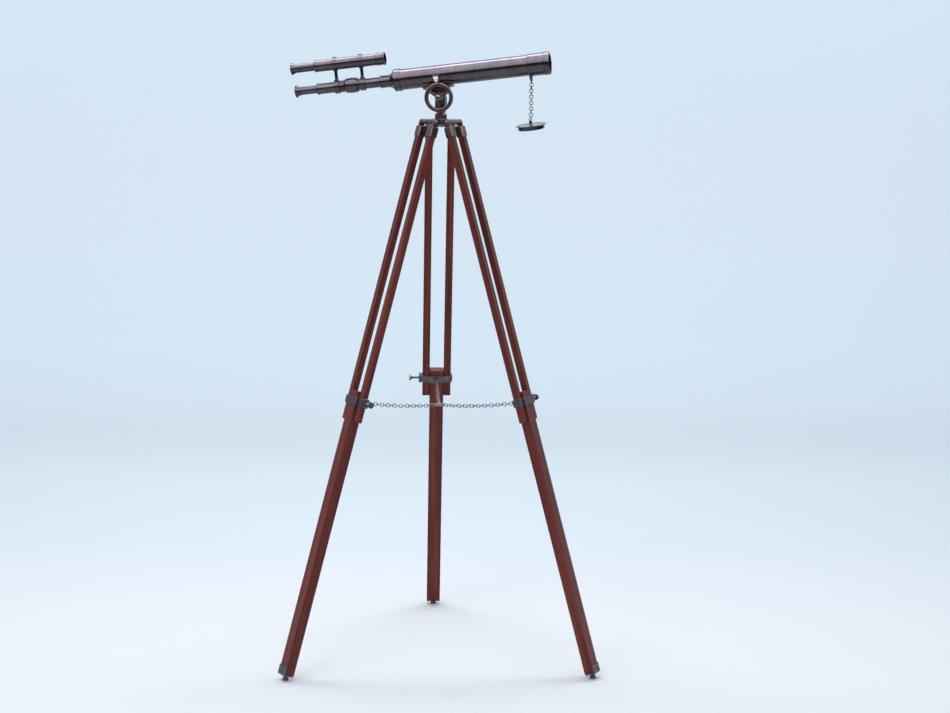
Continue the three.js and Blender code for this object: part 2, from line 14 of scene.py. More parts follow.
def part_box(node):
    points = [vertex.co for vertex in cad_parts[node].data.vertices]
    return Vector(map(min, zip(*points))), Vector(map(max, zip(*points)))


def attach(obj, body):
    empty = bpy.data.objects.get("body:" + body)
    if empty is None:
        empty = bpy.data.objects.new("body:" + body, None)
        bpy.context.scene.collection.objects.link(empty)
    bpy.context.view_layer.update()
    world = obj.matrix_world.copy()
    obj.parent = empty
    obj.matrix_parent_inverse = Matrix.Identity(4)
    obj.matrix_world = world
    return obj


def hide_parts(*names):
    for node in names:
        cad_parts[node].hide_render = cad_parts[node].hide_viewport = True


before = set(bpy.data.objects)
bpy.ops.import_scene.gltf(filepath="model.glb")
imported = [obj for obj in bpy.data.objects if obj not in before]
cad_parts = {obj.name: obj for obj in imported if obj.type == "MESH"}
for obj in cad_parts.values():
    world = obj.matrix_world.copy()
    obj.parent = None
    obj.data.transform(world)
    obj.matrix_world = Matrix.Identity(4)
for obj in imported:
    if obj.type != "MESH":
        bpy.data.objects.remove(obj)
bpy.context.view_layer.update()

# -------------------- driving dimensions

GAP = 0.3

HINGE_RADIUS = 36.6
HINGE_HEIGHT = 1439.5
FOOT_RADIUS = 466
BACK_LEG_TURN = 2.8
LEGS = {"back": 0, "right": -120, "left": 120}
SPLAY = math.degrees(math.atan2(FOOT_RADIUS - HINGE_RADIUS, HINGE_HEIGHT))

STICK_WIDTH, STICK_DEPTH, STICK_SPACING = 20, 16, 59
STICK_TOP, STICK_BOTTOM = 17, 805
LOWER_WIDTH, LOWER_DEPTH = 38.4, 25.5
LOWER_TOP, LOWER_BOTTOM = 726, 1486
FERRULE_TOP, FERRULE_BOTTOM, FERRULE_WALL = 13.5, 40, 2.4
EAR_INNER, EAR_OUTER, EAR_RADIUS = 31.3, 37.5, 7.5
PIN_RADIUS, PIN_HEAD_RADIUS, CUT_REACH = 3, 5.3, 60
COLLAR_PLACE, COLLAR_HEIGHT, COLLAR_WALL, COLLAR_LUG = 752, 20, 3, 7.5
KNOB_RADIUS, KNOB_THICKNESS, KNOB_REACH = 8.5, 5, 31.4
EYE_RADIUS, EYE_HOLE = 4.5, 2.4
EYE_Y = -(LOWER_DEPTH / 2 + GAP + COLLAR_WALL + 5)
FOOT_WALL, FOOT_SOLE, FOOT_RISE = 2.5, 2.8, 22
BUTTON_RADIUS, BUTTON_HEIGHT = 7.5, 18

PLATE_BOTTOM, PLATE_TOP, PLATE_HALF_SIDE = 1432.5, 1446.5, 31
PLATE_SCREW_PLACE = 24.5
POCKET_RADIUS, POCKET_DEPTH = 14, 6.3
COLUMN_NUT_RADIUS, COLUMN_NUT_THICKNESS = 12.5, 5.5
BOLT_HEAD_RADIUS, BOLT_HEAD_THICKNESS = 10.5, 7
SPINDLE_RADIUS = 7
BASE_COLLAR_RADIUS, BASE_COLLAR_TOP = 15.8, 1461.5
FORK_WIDTH, FORK_DEPTH, FORK_SLOT, FORK_BOTTOM, BOWL_RADIUS = 27, 26, 14, 1467, 14.3
SHAFT_HEIGHT, SHAFT_RADIUS = 1503, 5
WHEEL_RADIUS, WHEEL_RIM, WHEEL_RIM_DEPTH, WHEEL_HUB, WHEEL_PLANE = 38, 10.5, 9, 10.5, -29.5
HUB_FACE = -5.5
SPOKE_ANGLES = (30, 150, 270)

TUBE_YAW, TUBE_TILT, AXIS_OFFSET = 10, 6.8, 57
MAIN_RADIUS = 27
CRADLE_BACK, CRADLE_FRONT, CRADLE_WALL, LUG_THICKNESS = -42, 36, 4.7, 13.4
STRAP_PLACE, STRAP_WIDTH, STRAP_REACH, CLIP_ANGLE = -2, 18, 92, 72
DRAW_RADIUS = 13.5
EYE_SLEEVE_RADIUS = 14.2
FINDER_OFFSET, FINDER_RADIUS = 59.5, 15.3
REAR_RING, FRONT_RING, RING_HALF_WIDTH = -273.5, -203.5, 6.5

SLEEVE_RADIUS = 29.2
LUG_PLACE = 242
LUG_END = AXIS_OFFSET - SLEEVE_RADIUS - 12
CAP_CHAIN_LENGTH, CAP_TILT, CAP_LEAN = 98.5, 6.5, 6.6
RING_RADIUS, RING_WIRE, RING_HEIGHT, CHAIN_SAG = 15, 2, 687, 5
CAP_LINK = (12, 11.6, 2)           # length, width and wire
LEG_LINK = (14, 11.4, 2)

SEGMENTS = 96

# -------------------- frames


def shift(x, y, z):
    return Matrix.Translation((x, y, z))


def spin(axis, degrees):
    return Matrix.Rotation(math.radians(degrees), 4, axis)


collar_low, collar_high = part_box("base_collar")
middle = (collar_low + collar_high) * 500
HUB = shift(middle.x, middle.y, 0)
HEAD = HUB @ spin("Z", -TUBE_YAW)
TUBE = HEAD @ shift(0, 0, SHAFT_HEIGHT) @ spin("Y", -TUBE_TILT)
MAIN_AXIS = TUBE @ shift(0, 0, AXIS_OFFSET)
FINDER_AXIS = MAIN_AXIS @ shift(0, 0, FINDER_OFFSET)
HANGING = TUBE @ shift(LUG_PLACE, 0, LUG_END) @ spin("Y", TUBE_TILT)
CAP_HANG = 1 + CAP_CHAIN_LENGTH + 12        # the gap at the lug, the chain and the cap's grip
CAP = HANGING @ shift(0, 0, -CAP_HANG) @ spin("X", CAP_LEAN) @ spin("Y", -CAP_TILT)


def leg_hub(name):
    return HUB @ spin("Z", BACK_LEG_TURN + LEGS[name])


def leg_frame(name):
    return leg_hub(name) @ shift(0, HINGE_RADIUS, HINGE_HEIGHT) @ spin("X", SPLAY)


# -------------------- solids

ALONG = {"X": Matrix.Identity(4), "Y": spin("Z", 90), "Z": spin("Y", -90)}
SHARP_TURN = math.radians(24)


def polar(radius, degrees):
    """The point at a distance and an angle from the origin."""
    angle = math.radians(degrees)
    return radius * math.cos(angle), radius * math.sin(angle)


def softened(profile, radius, closed):
    """The profile with each sharp corner turned into a small arc."""
    points = [Vector(point) for point in profile]
    count = len(points)
    result = []
    for i, corner in enumerate(points):
        before = points[i - 1] - corner
        after = points[(i + 1) % count] - corner
        at_end = not closed and i in (0, count - 1)
        if at_end or math.pi - before.angle(after) < SHARP_TURN:
            result.append(corner)
            continue
        start = corner + before.normalized() * min(radius, before.length * 0.4)
        end = corner + after.normalized() * min(radius, after.length * 0.4)
        for t in (0, 0.33, 0.67, 1):
            result.append(start.lerp(corner, t).lerp(corner.lerp(end, t), t))
    return result


def skin(solid, rings, following):
    """Faces between each ring of vertices and the one that follows it."""
    for one, two in zip(rings, following):
        for i in range(len(one)):
            j = (i + 1) % len(one)
            corners = list(dict.fromkeys([one[i], one[j], two[j], two[i]]))
            if len(corners) > 2:
                solid.faces.new(corners)


def turned(profile, along="X", soften=0.5, segments=SEGMENTS):
    """A solid of revolution. The profile is [place, radius] points, forwards on the outside and
    back on the inside, or from the axis to the axis."""
    hollow = profile[0][1] > 0
    points = softened(profile, soften, hollow)
    solid = bmesh.new()
    rings = []
    for place, radius in points:
        if radius < 1e-6:
            rings.append([solid.verts.new((place, 0, 0))] * segments)
            continue
        angles = [2 * math.pi * i / segments for i in range(segments)]
        circle = [(place, radius * math.cos(angle), radius * math.sin(angle)) for angle in angles]
        rings.append([solid.verts.new(point) for point in circle])
    skin(solid, rings, rings[1:] + rings[:1] if hollow else rings[1:])
    return moved(solid, ALONG[along])


def rod(start, end, radius, along="X", soften=0.5, segments=48):
    return turned([(start, 0), (start, radius), (end, radius), (end, 0)], along, soften, segments)


def moved(solid, matrix):
    bmesh.ops.transform(solid, matrix=matrix, verts=solid.verts)
    return solid


def bevelled(solid, size):
    """The solid with its sharp edges rounded."""
    bmesh.ops.recalc_face_normals(solid, faces=solid.faces)
    sharp = [edge for edge in solid.edges if edge.calc_face_angle(0) > SHARP_TURN]
    bmesh.ops.bevel(solid, geom=sharp, offset=size, segments=3, profile=0.5,
                    affect="EDGES", clamp_overlap=True)
    return solid


def brick(x, y, z, bevel=0.6):
    """A block between two places on each axis."""
    size = Matrix.Diagonal((x[1] - x[0], y[1] - y[0], z[1] - z[0], 1))
    centre = shift((x[0] + x[1]) / 2, (y[0] + y[1]) / 2, (z[0] + z[1]) / 2)
    solid = bmesh.new()
    bmesh.ops.create_cube(solid, size=1, matrix=centre @ size)
    return bevelled(solid, bevel) if bevel else solid


def block(half_x, half_y, z, bevel=0.6):
    """A block centred on the Z axis, between two heights."""
    return brick((-half_x, half_x), (-half_y, half_y), z, bevel)


def slab(outline, thickness, bevel=0.6):
    """An outline in X and Y given a thickness about the X-Y plane."""
    solid = bmesh.new()
    face = solid.faces.new([solid.verts.new((x, y, -thickness / 2)) for x, y in outline])
    grown = bmesh.ops.extrude_face_region(solid, geom=[face])["geom"]
    upper = [item for item in grown if isinstance(item, bmesh.types.BMVert)]
    bmesh.ops.translate(solid, verts=upper, vec=(0, 0, thickness))
    return bevelled(solid, bevel)


def round_cornered(x, y, z, corner, bevel=0.6):
    """A block whose edges along Z are rounded to the radius `corner`."""
    outline = []
    corners = ((x[1], y[1]), (x[0], y[1]), (x[0], y[0]), (x[1], y[0]))
    for quarter, (side_x, side_y) in enumerate(corners):
        centre_x = side_x - math.copysign(corner, side_x - (x[0] + x[1]) / 2)
        centre_y = side_y - math.copysign(corner, side_y - (y[0] + y[1]) / 2)
        for step in range(7):
            out_x, out_y = polar(corner, 90 * quarter + 15 * step)
            outline.append((centre_x + out_x, centre_y + out_y))
    return moved(slab(outline, z[1] - z[0], bevel), shift(0, 0, (z[0] + z[1]) / 2))


def upright(outline, thickness, bevel=0.6):
    """An outline in X and Z given a thickness along Y."""
    return moved(slab(outline, thickness, bevel), spin("X", 90))


def wire(path, radius, section=10):
    """A round wire along a closed path of points that lie in the X-Y plane."""
    solid = bmesh.new()
    rings = []
    count = len(path)
    for i, point in enumerate(path):
        tangent = (path[(i + 1) % count] - path[i - 1]).normalized()
        side = Vector((0, 0, 1)).cross(tangent)
        ring = []
        for k in range(section):
            angle = 2 * math.pi * k / section
            outwards = math.cos(angle) * side + Vector((0, 0, math.sin(angle)))
            ring.append(solid.verts.new(point + radius * outwards))
        rings.append(ring)
    skin(solid, rings, rings[1:] + rings[:1])
    return solid


def together(*solids):
    """Several separate shells in one solid."""
    scratch = bpy.data.meshes.new("scratch")
    result = bmesh.new()
    for solid in solids:
        solid.to_mesh(scratch)
        solid.free()
        result.from_mesh(scratch)
    bpy.data.meshes.remove(scratch)
    return result


def scratch_object(solid):
    bmesh.ops.recalc_face_normals(solid, faces=solid.faces)
    mesh = bpy.data.meshes.new("scratch")
    solid.to_mesh(mesh)
    solid.free()
    obj = bpy.data.objects.new("scratch", mesh)
    bpy.context.scene.collection.objects.link(obj)
    return obj


def combined(operation, base, tools):
    """The base solid joined with or cut by each tool in turn."""
    objects = [scratch_object(solid) for solid in (base, *tools)]
    for tool in objects[1:]:
        modifier = objects[0].modifiers.new("combine", "BOOLEAN")
        modifier.operation = operation
        modifier.solver = "EXACT"
        modifier.object = tool
    shape = objects[0].evaluated_get(bpy.context.evaluated_depsgraph_get())
    result = bmesh.new()
    result.from_mesh(shape.to_mesh())
    shape.to_mesh_clear()
    for obj in objects:
        mesh = obj.data
        bpy.data.objects.remove(obj)
        bpy.data.meshes.remove(mesh)
    bmesh.ops.remove_doubles(result, verts=result.verts, dist=0.004)
    return result


def fused(base, *tools):
    return combined("UNION", base, tools)


def carved(base, *tools):
    return combined("DIFFERENCE", base, tools)


def screw_head(radius, height, slot_turn=0):
    """A domed screw head with a slot, on the X-Y plane and facing +Z."""
    dome = [(-0.6, 0), (-0.6, radius), (height * 0.25, radius), (height * 0.6, radius * 0.86),
            (height * 0.88, radius * 0.5), (height, 0)]
    slot = block(radius * 1.2, radius * 0.12, (height * 0.45, height * 2), 0)
    return carved(turned(dome, "Z", 0.3, 32), moved(slot, spin("Z", slot_turn)))


# -------------------- materials


def colour_ramp(tree, factor, stops):
    """The colour for a factor, from stops of (position, colour)."""
    ramp = tree.nodes.new("ShaderNodeValToRGB")
    elements = ramp.color_ramp.elements
    while len(elements) < len(stops):
        elements.new(0.5)
    for element, (position, colour) in zip(elements, stops):
        element.position = position
        element.color = (*colour, 1)
    tree.links.new(factor, ramp.inputs["Fac"])
    return ramp.outputs["Color"]


def mixed(tree, one, two):
    """A node that mixes two colours."""
    mix = tree.nodes.new("ShaderNodeMix")
    mix.data_type = "RGBA"
    tree.links.new(one, mix.inputs["A"])
    tree.links.new(two, mix.inputs["B"])
    return mix


class Surface:
    """A material under construction: its nodes, its shader and the object's own coordinates."""

    def __init__(self, name):
        self.material = bpy.data.materials.new(name)
        self.material.use_nodes = True
        self.tree = self.material.node_tree
        self.shader = self.tree.nodes["Principled BSDF"]
        self.place = self.tree.nodes.new("ShaderNodeTexCoord").outputs["Object"]

    def link(self, output, node, socket):
        self.tree.links.new(output, node.inputs[socket])

    def scaled(self, scale, offset=(0, 0, 0)):
        mapping = self.tree.nodes.new("ShaderNodeMapping")
        mapping.inputs["Scale"].default_value = scale
        mapping.inputs["Location"].default_value = offset
        self.link(self.place, mapping, "Vector")
        return mapping.outputs["Vector"]

    def noise(self, vector, scale=1.0, detail=4.0, roughness=0.5, distortion=0.0):
        noise = self.tree.nodes.new("ShaderNodeTexNoise")
        noise.inputs["Scale"].default_value = scale
        noise.inputs["Detail"].default_value = detail
        noise.inputs["Roughness"].default_value = roughness
        noise.inputs["Distortion"].default_value = distortion
        self.link(vector, noise, "Vector")
        return noise.outputs["Fac"]

    def ramp(self, factor, stops):
        return colour_ramp(self.tree, factor, stops)

    def map(self, value, start, end, low=0.0, high=1.0):
        """A value mapped from start…end to low…high."""
        node = self.tree.nodes.new("ShaderNodeMapRange")
        for name, number in (("From Min", start), ("From Max", end), ("To Min", low), ("To Max", high)):
            node.inputs[name].default_value = number
        self.link(value, node, "Value")
        return node

    def range(self, noise, low, high):
        """A noise's usual span mapped to low…high."""
        return self.map(noise, 0.3, 0.7, low, high).outputs["Result"]

    def multiplied(self, one, two, factor):
        mix = mixed(self.tree, one, two)
        mix.blend_type = "MULTIPLY"
        mix.inputs["Factor"].default_value = factor
        return mix.outputs["Result"]

    def axes(self):
        """The object's own coordinates, one output for each axis."""
        split = self.tree.nodes.new("ShaderNodeSeparateXYZ")
        self.link(self.place, split, "Vector")
        return split.outputs

    def bump(self, height, strength, distance):
        bump = self.tree.nodes.new("ShaderNodeBump")
        bump.inputs["Strength"].default_value = strength
        bump.inputs["Distance"].default_value = distance
        self.link(height, bump, "Height")
        self.link(bump.outputs["Normal"], self.shader, "Normal")

    def set(self, **values):
        for name, value in values.items():
            self.shader.inputs[name.replace("_", " ")].default_value = value


def bronzed_metal(name, marks, shades, gloss):
    """Brass under a dark bronze finish. `marks` is how fast the tool marks repeat per metre in each
    direction; they run round a turned piece when only the first is high."""
    surface = Surface(name)
    clouds = surface.noise(surface.scaled((1, 1, 1)), 38, 5, 0.55, 0.6)
    stains = surface.noise(surface.scaled((1, 1, 1), (3, 7, 1)), 260, 3, 0.6)
    colour = surface.ramp(clouds, list(zip((0.3, 0.52, 0.72), shades)))
    tarnish = surface.ramp(stains, [(0.28, (0.78, 0.74, 0.76)), (0.5, (1, 1, 1))])
    surface.link(surface.multiplied(colour, tarnish, 0.8), surface.shader, "Base Color")
    surface.link(surface.range(clouds, *gloss), surface.shader, "Roughness")
    surface.bump(surface.noise(surface.scaled(marks), 1, 3), 0.1, 0.0001)
    surface.set(Metallic=1)
    return surface.material


def cast_iron(name, dark, middle, light):
    """Dark fittings, a little rough from the casting, with lighter rubbed places."""
    surface = Surface(name)
    grain = surface.noise(surface.scaled((1, 1, 1)), 700, 5, 0.65)
    patches = surface.noise(surface.scaled((1, 1, 1), (5, 2, 9)), 90, 4, 0.6, 0.4)
    colour = surface.ramp(patches, [(0.3, dark), (0.55, middle), (0.75, light)])
    surface.link(colour, surface.shader, "Base Color")
    surface.link(surface.range(patches, 0.42, 0.28), surface.shader, "Roughness")
    surface.bump(grain, 0.16, 0.0004)
    surface.set(Metallic=1)
    return surface.material


def bright_metal(name, dark, light):
    """Plain bright metal with fine scuffs."""
    surface = Surface(name)
    scuffs = surface.noise(surface.scaled((400, 400, 2600)), 1, 4)
    colour = surface.ramp(scuffs, [(0.35, dark), (0.65, light)])
    surface.link(colour, surface.shader, "Base Color")
    surface.link(surface.range(scuffs, 0.16, 0.28), surface.shader, "Roughness")
    surface.set(Metallic=1)
    return surface.material


def edge_shade(surface, width, depth):
    """A factor that is 1 on the long edges of a bar centred on Z and 0 over the rest of it."""
    axes = surface.axes()
    sides = []
    for axis, size in (("X", width), ("Y", depth)):
        absolute = surface.tree.nodes.new("ShaderNodeMath")
        absolute.operation = "ABSOLUTE"
        surface.link(axes[axis], absolute, 0)
        side = surface.map(absolute.outputs[0], size / 2000 - 0.0022, size / 2000 - 0.0004)
        side.interpolation_type = "SMOOTHSTEP"
        sides.append(side.outputs["Result"])
    product = surface.tree.nodes.new("ShaderNodeMath")
    product.operation = "MULTIPLY"
    surface.link(sides[0], product, 0)
    surface.link(sides[1], product, 1)
    return product.outputs[0]


def mahogany(kind, number, width, depth):
    """Varnished mahogany with its grain along Z and painted shade darkening its long edges; each board
    number has its own figure."""
    surface = Surface(f"mahogany_{kind}_{number}")
    offset = (3.1 * number, 1.7 * number, 0.9 * number)
    figure = surface.noise(surface.scaled((55, 55, 1.7), offset), 1, 6, 0.55, 1.4)
    fibres = surface.noise(surface.scaled((620, 620, 9), offset), 1, 5, 0.6)
    pores = surface.noise(surface.scaled((1500, 1500, 55), offset), 1, 2)
    colour = surface.ramp(figure, [(0.28, (0.072, 0.017, 0.014)), (0.45, (0.135, 0.03, 0.023)),
                                   (0.6, (0.19, 0.044, 0.033)), (0.78, (0.25, 0.07, 0.045))])
    streaks = surface.ramp(fibres, [(0.3, (0.62, 0.58, 0.56)), (0.55, (1, 1, 1))])
    specks = surface.ramp(pores, [(0.26, (0.35, 0.3, 0.3)), (0.36, (1, 1, 1))])
    grained = surface.multiplied(colour, streaks, 0.75)
    figured = surface.multiplied(grained, specks, 0.6)
    # painted shade: the long edges of each bar are darkened in the base colour
    edges = surface.ramp(edge_shade(surface, width, depth), [(0, (1, 1, 1)), (1, (0.55, 0.5, 0.52))])
    surface.link(surface.multiplied(figured, edges, 1), surface.shader, "Base Color")
    surface.link(surface.range(fibres, 0.42, 0.3), surface.shader, "Roughness")
    surface.bump(fibres, 0.12, 0.0003)
    surface.set(Coat_Weight=0.03, Coat_Roughness=0.25, Specular_IOR_Level=0.14)
    return surface.material


def lens_glass(name):
    """Clear glass with a little dust."""
    surface = Surface(name)
    dust = surface.noise(surface.scaled((1, 1, 1)), 420, 5, 0.7)
    surface.link(surface.range(dust, 0.02, 0.09), surface.shader, "Roughness")
    tint = surface.ramp(dust, [(0.4, (0.78, 0.86, 0.9)), (0.7, (0.86, 0.92, 0.94))])
    surface.link(tint, surface.shader, "Base Color")
    surface.set(Transmission_Weight=0.9, IOR=1.5, Coat_Weight=0.5, Coat_Roughness=0.03)
    return surface.material


MARKS_ROUND_X = (2600, 25, 25)
MARKS_ROUND_Z = (25, 25, 2600)
EVEN_MARKS = (900, 900, 900)
POLISHED = ((0.07, 0.058, 0.062), (0.088, 0.078, 0.084), (0.11, 0.093, 0.09))
SATIN = ((0.1, 0.07, 0.068), (0.14, 0.103, 0.098), (0.19, 0.14, 0.12))
TURNED = bronzed_metal("bronzed_turned", MARKS_ROUND_X, POLISHED, (0.13, 0.21))
BRONZE = bronzed_metal("bronzed_cast", EVEN_MARKS, SATIN, (0.24, 0.36))
TURNED_UP = bronzed_metal("bronzed_turned_upright", MARKS_ROUND_Z, POLISHED, (0.13, 0.21))
IRON = cast_iron("dark_iron", (0.07, 0.062, 0.068), (0.12, 0.107, 0.11), (0.19, 0.165, 0.155))
RUBBED_IRON = cast_iron("rubbed_iron", (0.09, 0.077, 0.07), (0.17, 0.142, 0.125), (0.26, 0.215, 0.19))
NICKEL = bright_metal("polished_nickel", (0.72, 0.7, 0.72), (0.88, 0.86, 0.88))
WORN_NICKEL = bright_metal("worn_nickel", (0.085, 0.074, 0.074), (0.16, 0.145, 0.148))
GLASS = lens_glass("lens_glass")
STICK_BOARDS = [mahogany("stick", number, STICK_WIDTH, STICK_DEPTH) for number in range(4)]
LOWER_BOARDS = [mahogany("leg", number, LOWER_WIDTH, LOWER_DEPTH) for number in range(4, 7)]


def add(name, body, place, solid, material, *stands_for):
    """Makes a piece from a solid in millimetres, drawn in the frame `place`, for a body. It stands
    for the CAD nodes that are named last."""
    bmesh.ops.recalc_face_normals(solid, faces=solid.faces)
    bmesh.ops.scale(solid, vec=(0.001, 0.001, 0.001), verts=solid.verts)
    mesh = bpy.data.meshes.new(name)
    solid.to_mesh(mesh)
    solid.free()
    mesh.shade_smooth()
    mesh.set_sharp_from_angle(angle=math.radians(38))
    mesh.materials.append(material)
    obj = bpy.data.objects.new(name, mesh)
    bpy.context.scene.collection.objects.link(obj)
    world = place.copy()
    world.translation = place.translation * 0.001
    obj.matrix_world = world
    normals = obj.modifiers.new("flat faces stay flat", "WEIGHTED_NORMAL")
    normals.keep_sharp = True
    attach(obj, body)
    if stands_for:
        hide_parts(*stands_for)


def rebuild(node, body, place, solid, material):
    """Makes the detailed version of one CAD node."""
    add(f"fine_{node}", body, place, solid, material, node)


# -------------------- tripod head


def head_plate():
    """A three-sided plate with a hinge barrel along each side and room for the legs' ears."""
    thickness = PLATE_TOP - PLATE_BOTTOM
    half = PLATE_HALF_SIDE
    near = HINGE_RADIUS - EAR_RADIUS - 1
    far = 70
    corners = []
    barrels = []
    notches = []
    bores = []
    for side in range(3):
        turn = spin("Z", BACK_LEG_TURN + 120 * side)
        hinge = turn @ shift(0, HINGE_RADIUS, 0)
        corners += [(turn @ Vector((x, HINGE_RADIUS, 0))).xy for x in (half, -half)]
        barrels.append(moved(rod(-half, half, thickness / 2, soften=0.8), hinge))
        bores.append(moved(rod(-CUT_REACH, CUT_REACH, PIN_RADIUS + GAP, soften=0), hinge))
        for x in ((half, far), (-far, -half)):
            notches.append(moved(brick(x, (near, far), (-thickness, thickness), 0), turn))
    shaped = bevelled(carved(slab(corners, thickness, 0), *notches), 0.9)
    pocket = rod(-thickness, POCKET_DEPTH - thickness / 2, POCKET_RADIUS, "Z", 0)
    return carved(fused(shaped, *barrels), pocket, *bores)


def add_head():
    centre = HUB @ shift(0, 0, (PLATE_TOP + PLATE_BOTTOM) / 2)
    rebuild("head_plate", "base", centre, head_plate(), BRONZE)
    low = PLATE_TOP + GAP
    high = BASE_COLLAR_TOP
    bore = SPINDLE_RADIUS + GAP
    outer = BASE_COLLAR_RADIUS
    collar = turned([
        (low, outer + 0.6), (low + 2.2, outer + 0.6), (low + 3, outer - 0.8), (low + 4.2, outer),
        (high - 2, outer), (high, outer - 2), (high, bore), (low, bore),
    ], "Z", 0.4)
    rebuild("base_collar", "base", HUB, collar, BRONZE)
    for i, angle in enumerate((45, 135, 225, 315)):
        place = HUB @ spin("Z", angle) @ shift(PLATE_SCREW_PLACE, 0, PLATE_TOP)
        add(f"plate_screw_{i + 1}", "base", place, screw_head(4.2, 1.2, 30 * i), RUBBED_IRON)


# -------------------- column, bolt and wheel


def fork():
    """The column's upper part: a thick plate with a round top, slotted for the saddle's lug."""
    half = FORK_WIDTH / 2
    rise = SHAFT_HEIGHT - FORK_BOTTOM
    arc = [(x, rise + y) for x, y in (polar(half, angle) for angle in range(0, 181, 6))]
    body = upright([(-half, 6), (half, 6), *arc], FORK_DEPTH, 1.6)
    slot = block(half + 2, FORK_SLOT / 2, (rise - 16, rise + 30), 0)
    bore = rod(-FORK_DEPTH, FORK_DEPTH, SHAFT_RADIUS + GAP, "Y", 0)
    return carved(body, slot, moved(bore, shift(0, 0, rise)))


def stem():
    """A spindle through the plate, a short neck, and the rounded bowl that carries the fork."""
    foot = BASE_COLLAR_TOP + GAP
    bowl = FORK_BOTTOM
    end = PLATE_BOTTOM + GAP
    return turned([
        (end, 0), (end, SPINDLE_RADIUS), (foot, SPINDLE_RADIUS), (foot, 12.4), (foot + 1.4, 12.4),
        (foot + 2, 11.2), (bowl - 1.2, 11.2), (bowl - 0.4, 12.4), (bowl + 1.4, 13.8),
        (bowl + 3.6, BOWL_RADIUS), (bowl + 8.5, BOWL_RADIUS), (bowl + 11.5, 13), (bowl + 13, 10),
        (bowl + 13, 0),
    ], "Z", 0.5)


def add_column():
    solid = fused(moved(fork(), shift(0, 0, FORK_BOTTOM)), stem())
    rebuild("column", "column", HEAD, solid, BRONZE)
    add_nuts()
    add_wheel()


def hexagon(radius):
    return [polar(radius, angle) for angle in range(0, 360, 60)]


def add_nuts():
    thickness = COLUMN_NUT_THICKNESS
    nut = slab(hexagon(COLUMN_NUT_RADIUS), thickness, 0.7)
    bore = rod(-9, 9, SPINDLE_RADIUS + GAP, "Z", 0)
    place = HEAD @ shift(0, 0, PLATE_BOTTOM + POCKET_DEPTH - GAP - thickness / 2)
    rebuild("column_nut", "column", place, carved(nut, bore), IRON)
    back = FORK_DEPTH / 2 + GAP
    head = slab(hexagon(BOLT_HEAD_RADIUS), BOLT_HEAD_THICKNESS, 0.8)
    head = moved(head, shift(0, back + BOLT_HEAD_THICKNESS / 2, 0) @ spin("X", 90))
    shank = rod(WHEEL_PLANE - 10, back + 1, SHAFT_RADIUS, "Y", 0.5)
    rebuild("tilt_bolt", "column", HEAD @ shift(0, 0, SHAFT_HEIGHT), fused(head, shank), IRON)


def wheel():
    """A hand wheel about Y: a rounded flat rim, three tapered spokes and a stepped hub."""
    inner = WHEEL_RADIUS - WHEEL_RIM
    half = WHEEL_RIM_DEPTH / 2
    rim = turned([(-half, inner), (-half, WHEEL_RADIUS), (half, WHEEL_RADIUS), (half, inner)], "Y", 3.2)
    back = -FORK_DEPTH / 2 - GAP - WHEEL_PLANE
    bore = SHAFT_RADIUS + GAP
    hub = turned([
        (HUB_FACE, bore), (HUB_FACE, WHEEL_HUB - 0.8), (5, WHEEL_HUB), (6.5, WHEEL_HUB - 1.6),
        (back, WHEEL_HUB - 1.6), (back, bore),
    ], "Y", 0.9)
    spokes = []
    for angle in SPOKE_ANGLES:
        outline = [(7, -3.9), (inner + 3, -2.7), (inner + 3, 2.7), (7, 3.9)]
        spokes.append(moved(upright(outline, 6, 1.4), spin("Y", -angle)))
    return fused(rim, hub, *spokes)


def add_wheel():
    place = HEAD @ shift(0, WHEEL_PLANE, SHAFT_HEIGHT)
    rebuild("hand_wheel", "wheel", place, wheel(), BRONZE)
    face = HUB_FACE - GAP
    bore = SHAFT_RADIUS + GAP
    nut = turned([
        (face - 10.4, 0), (face - 10, 3.5), (face - 8, 6.8), (face - 5, 8.3), (face - 1.2, 8.5),
        (face, 8.5), (face, bore), (face - 4, bore), (face - 4, 0),
    ], "Y", 0.5)
    rebuild("wheel_nut", "wheel", place, nut, WORN_NICKEL)


# -------------------- telescope


def arc_outline(inner, outer, start, end):
    """A ring segment in X and Y between two angles in degrees."""
    angles = [start + (end - start) * i / 24 for i in range(25)]
    outside = [polar(outer, angle) for angle in angles]
    inside = [polar(inner, angle) for angle in reversed(angles)]
    return outside + inside


def saddle():
    """A cradle along the tube with a rib at each end, a strap up its -Y side, and a fan-shaped lug
    down to the cross bolt."""
    inner = MAIN_RADIUS + GAP
    outer = inner + CRADLE_WALL
    lay_along_x = shift(0, 0, AXIS_OFFSET) @ spin("Z", 90) @ spin("X", 90)
    parts = []
    cradle = (CRADLE_BACK, CRADLE_FRONT, outer)
    back_rib = (CRADLE_BACK - 0.5, CRADLE_BACK + 5.5, outer + 1.8)
    front_rib = (CRADLE_FRONT - 5.5, CRADLE_FRONT + 0.5, outer + 1.8)
    for start, end, radius in (cradle, back_rib, front_rib):
        arc = slab(arc_outline(inner, radius, -142, -38), end - start, 0.8)
        parts.append(moved(arc, lay_along_x @ shift(0, 0, (start + end) / 2)))
    strap = slab(arc_outline(inner, outer - 0.2, -90 - STRAP_REACH, -100), STRAP_WIDTH, 0.8)
    parts.append(moved(strap, lay_along_x @ shift(0, 0, STRAP_PLACE)))
    top = AXIS_OFFSET - inner - 2
    right_side = [(10, -6), (13, 0), (16.5, 9), (23, 18), (31, top)]
    fan = [(-10, -6), *right_side, *((-x, z) for x, z in reversed(right_side[1:]))]
    parts.append(upright(fan, LUG_THICKNESS, 1.1))
    parts.append(rod(-LUG_THICKNESS / 2, LUG_THICKNESS / 2, 13, "Y", 1.1))
    return carved(fused(*parts), rod(-12, 12, SHAFT_RADIUS + GAP, "Y", 0))


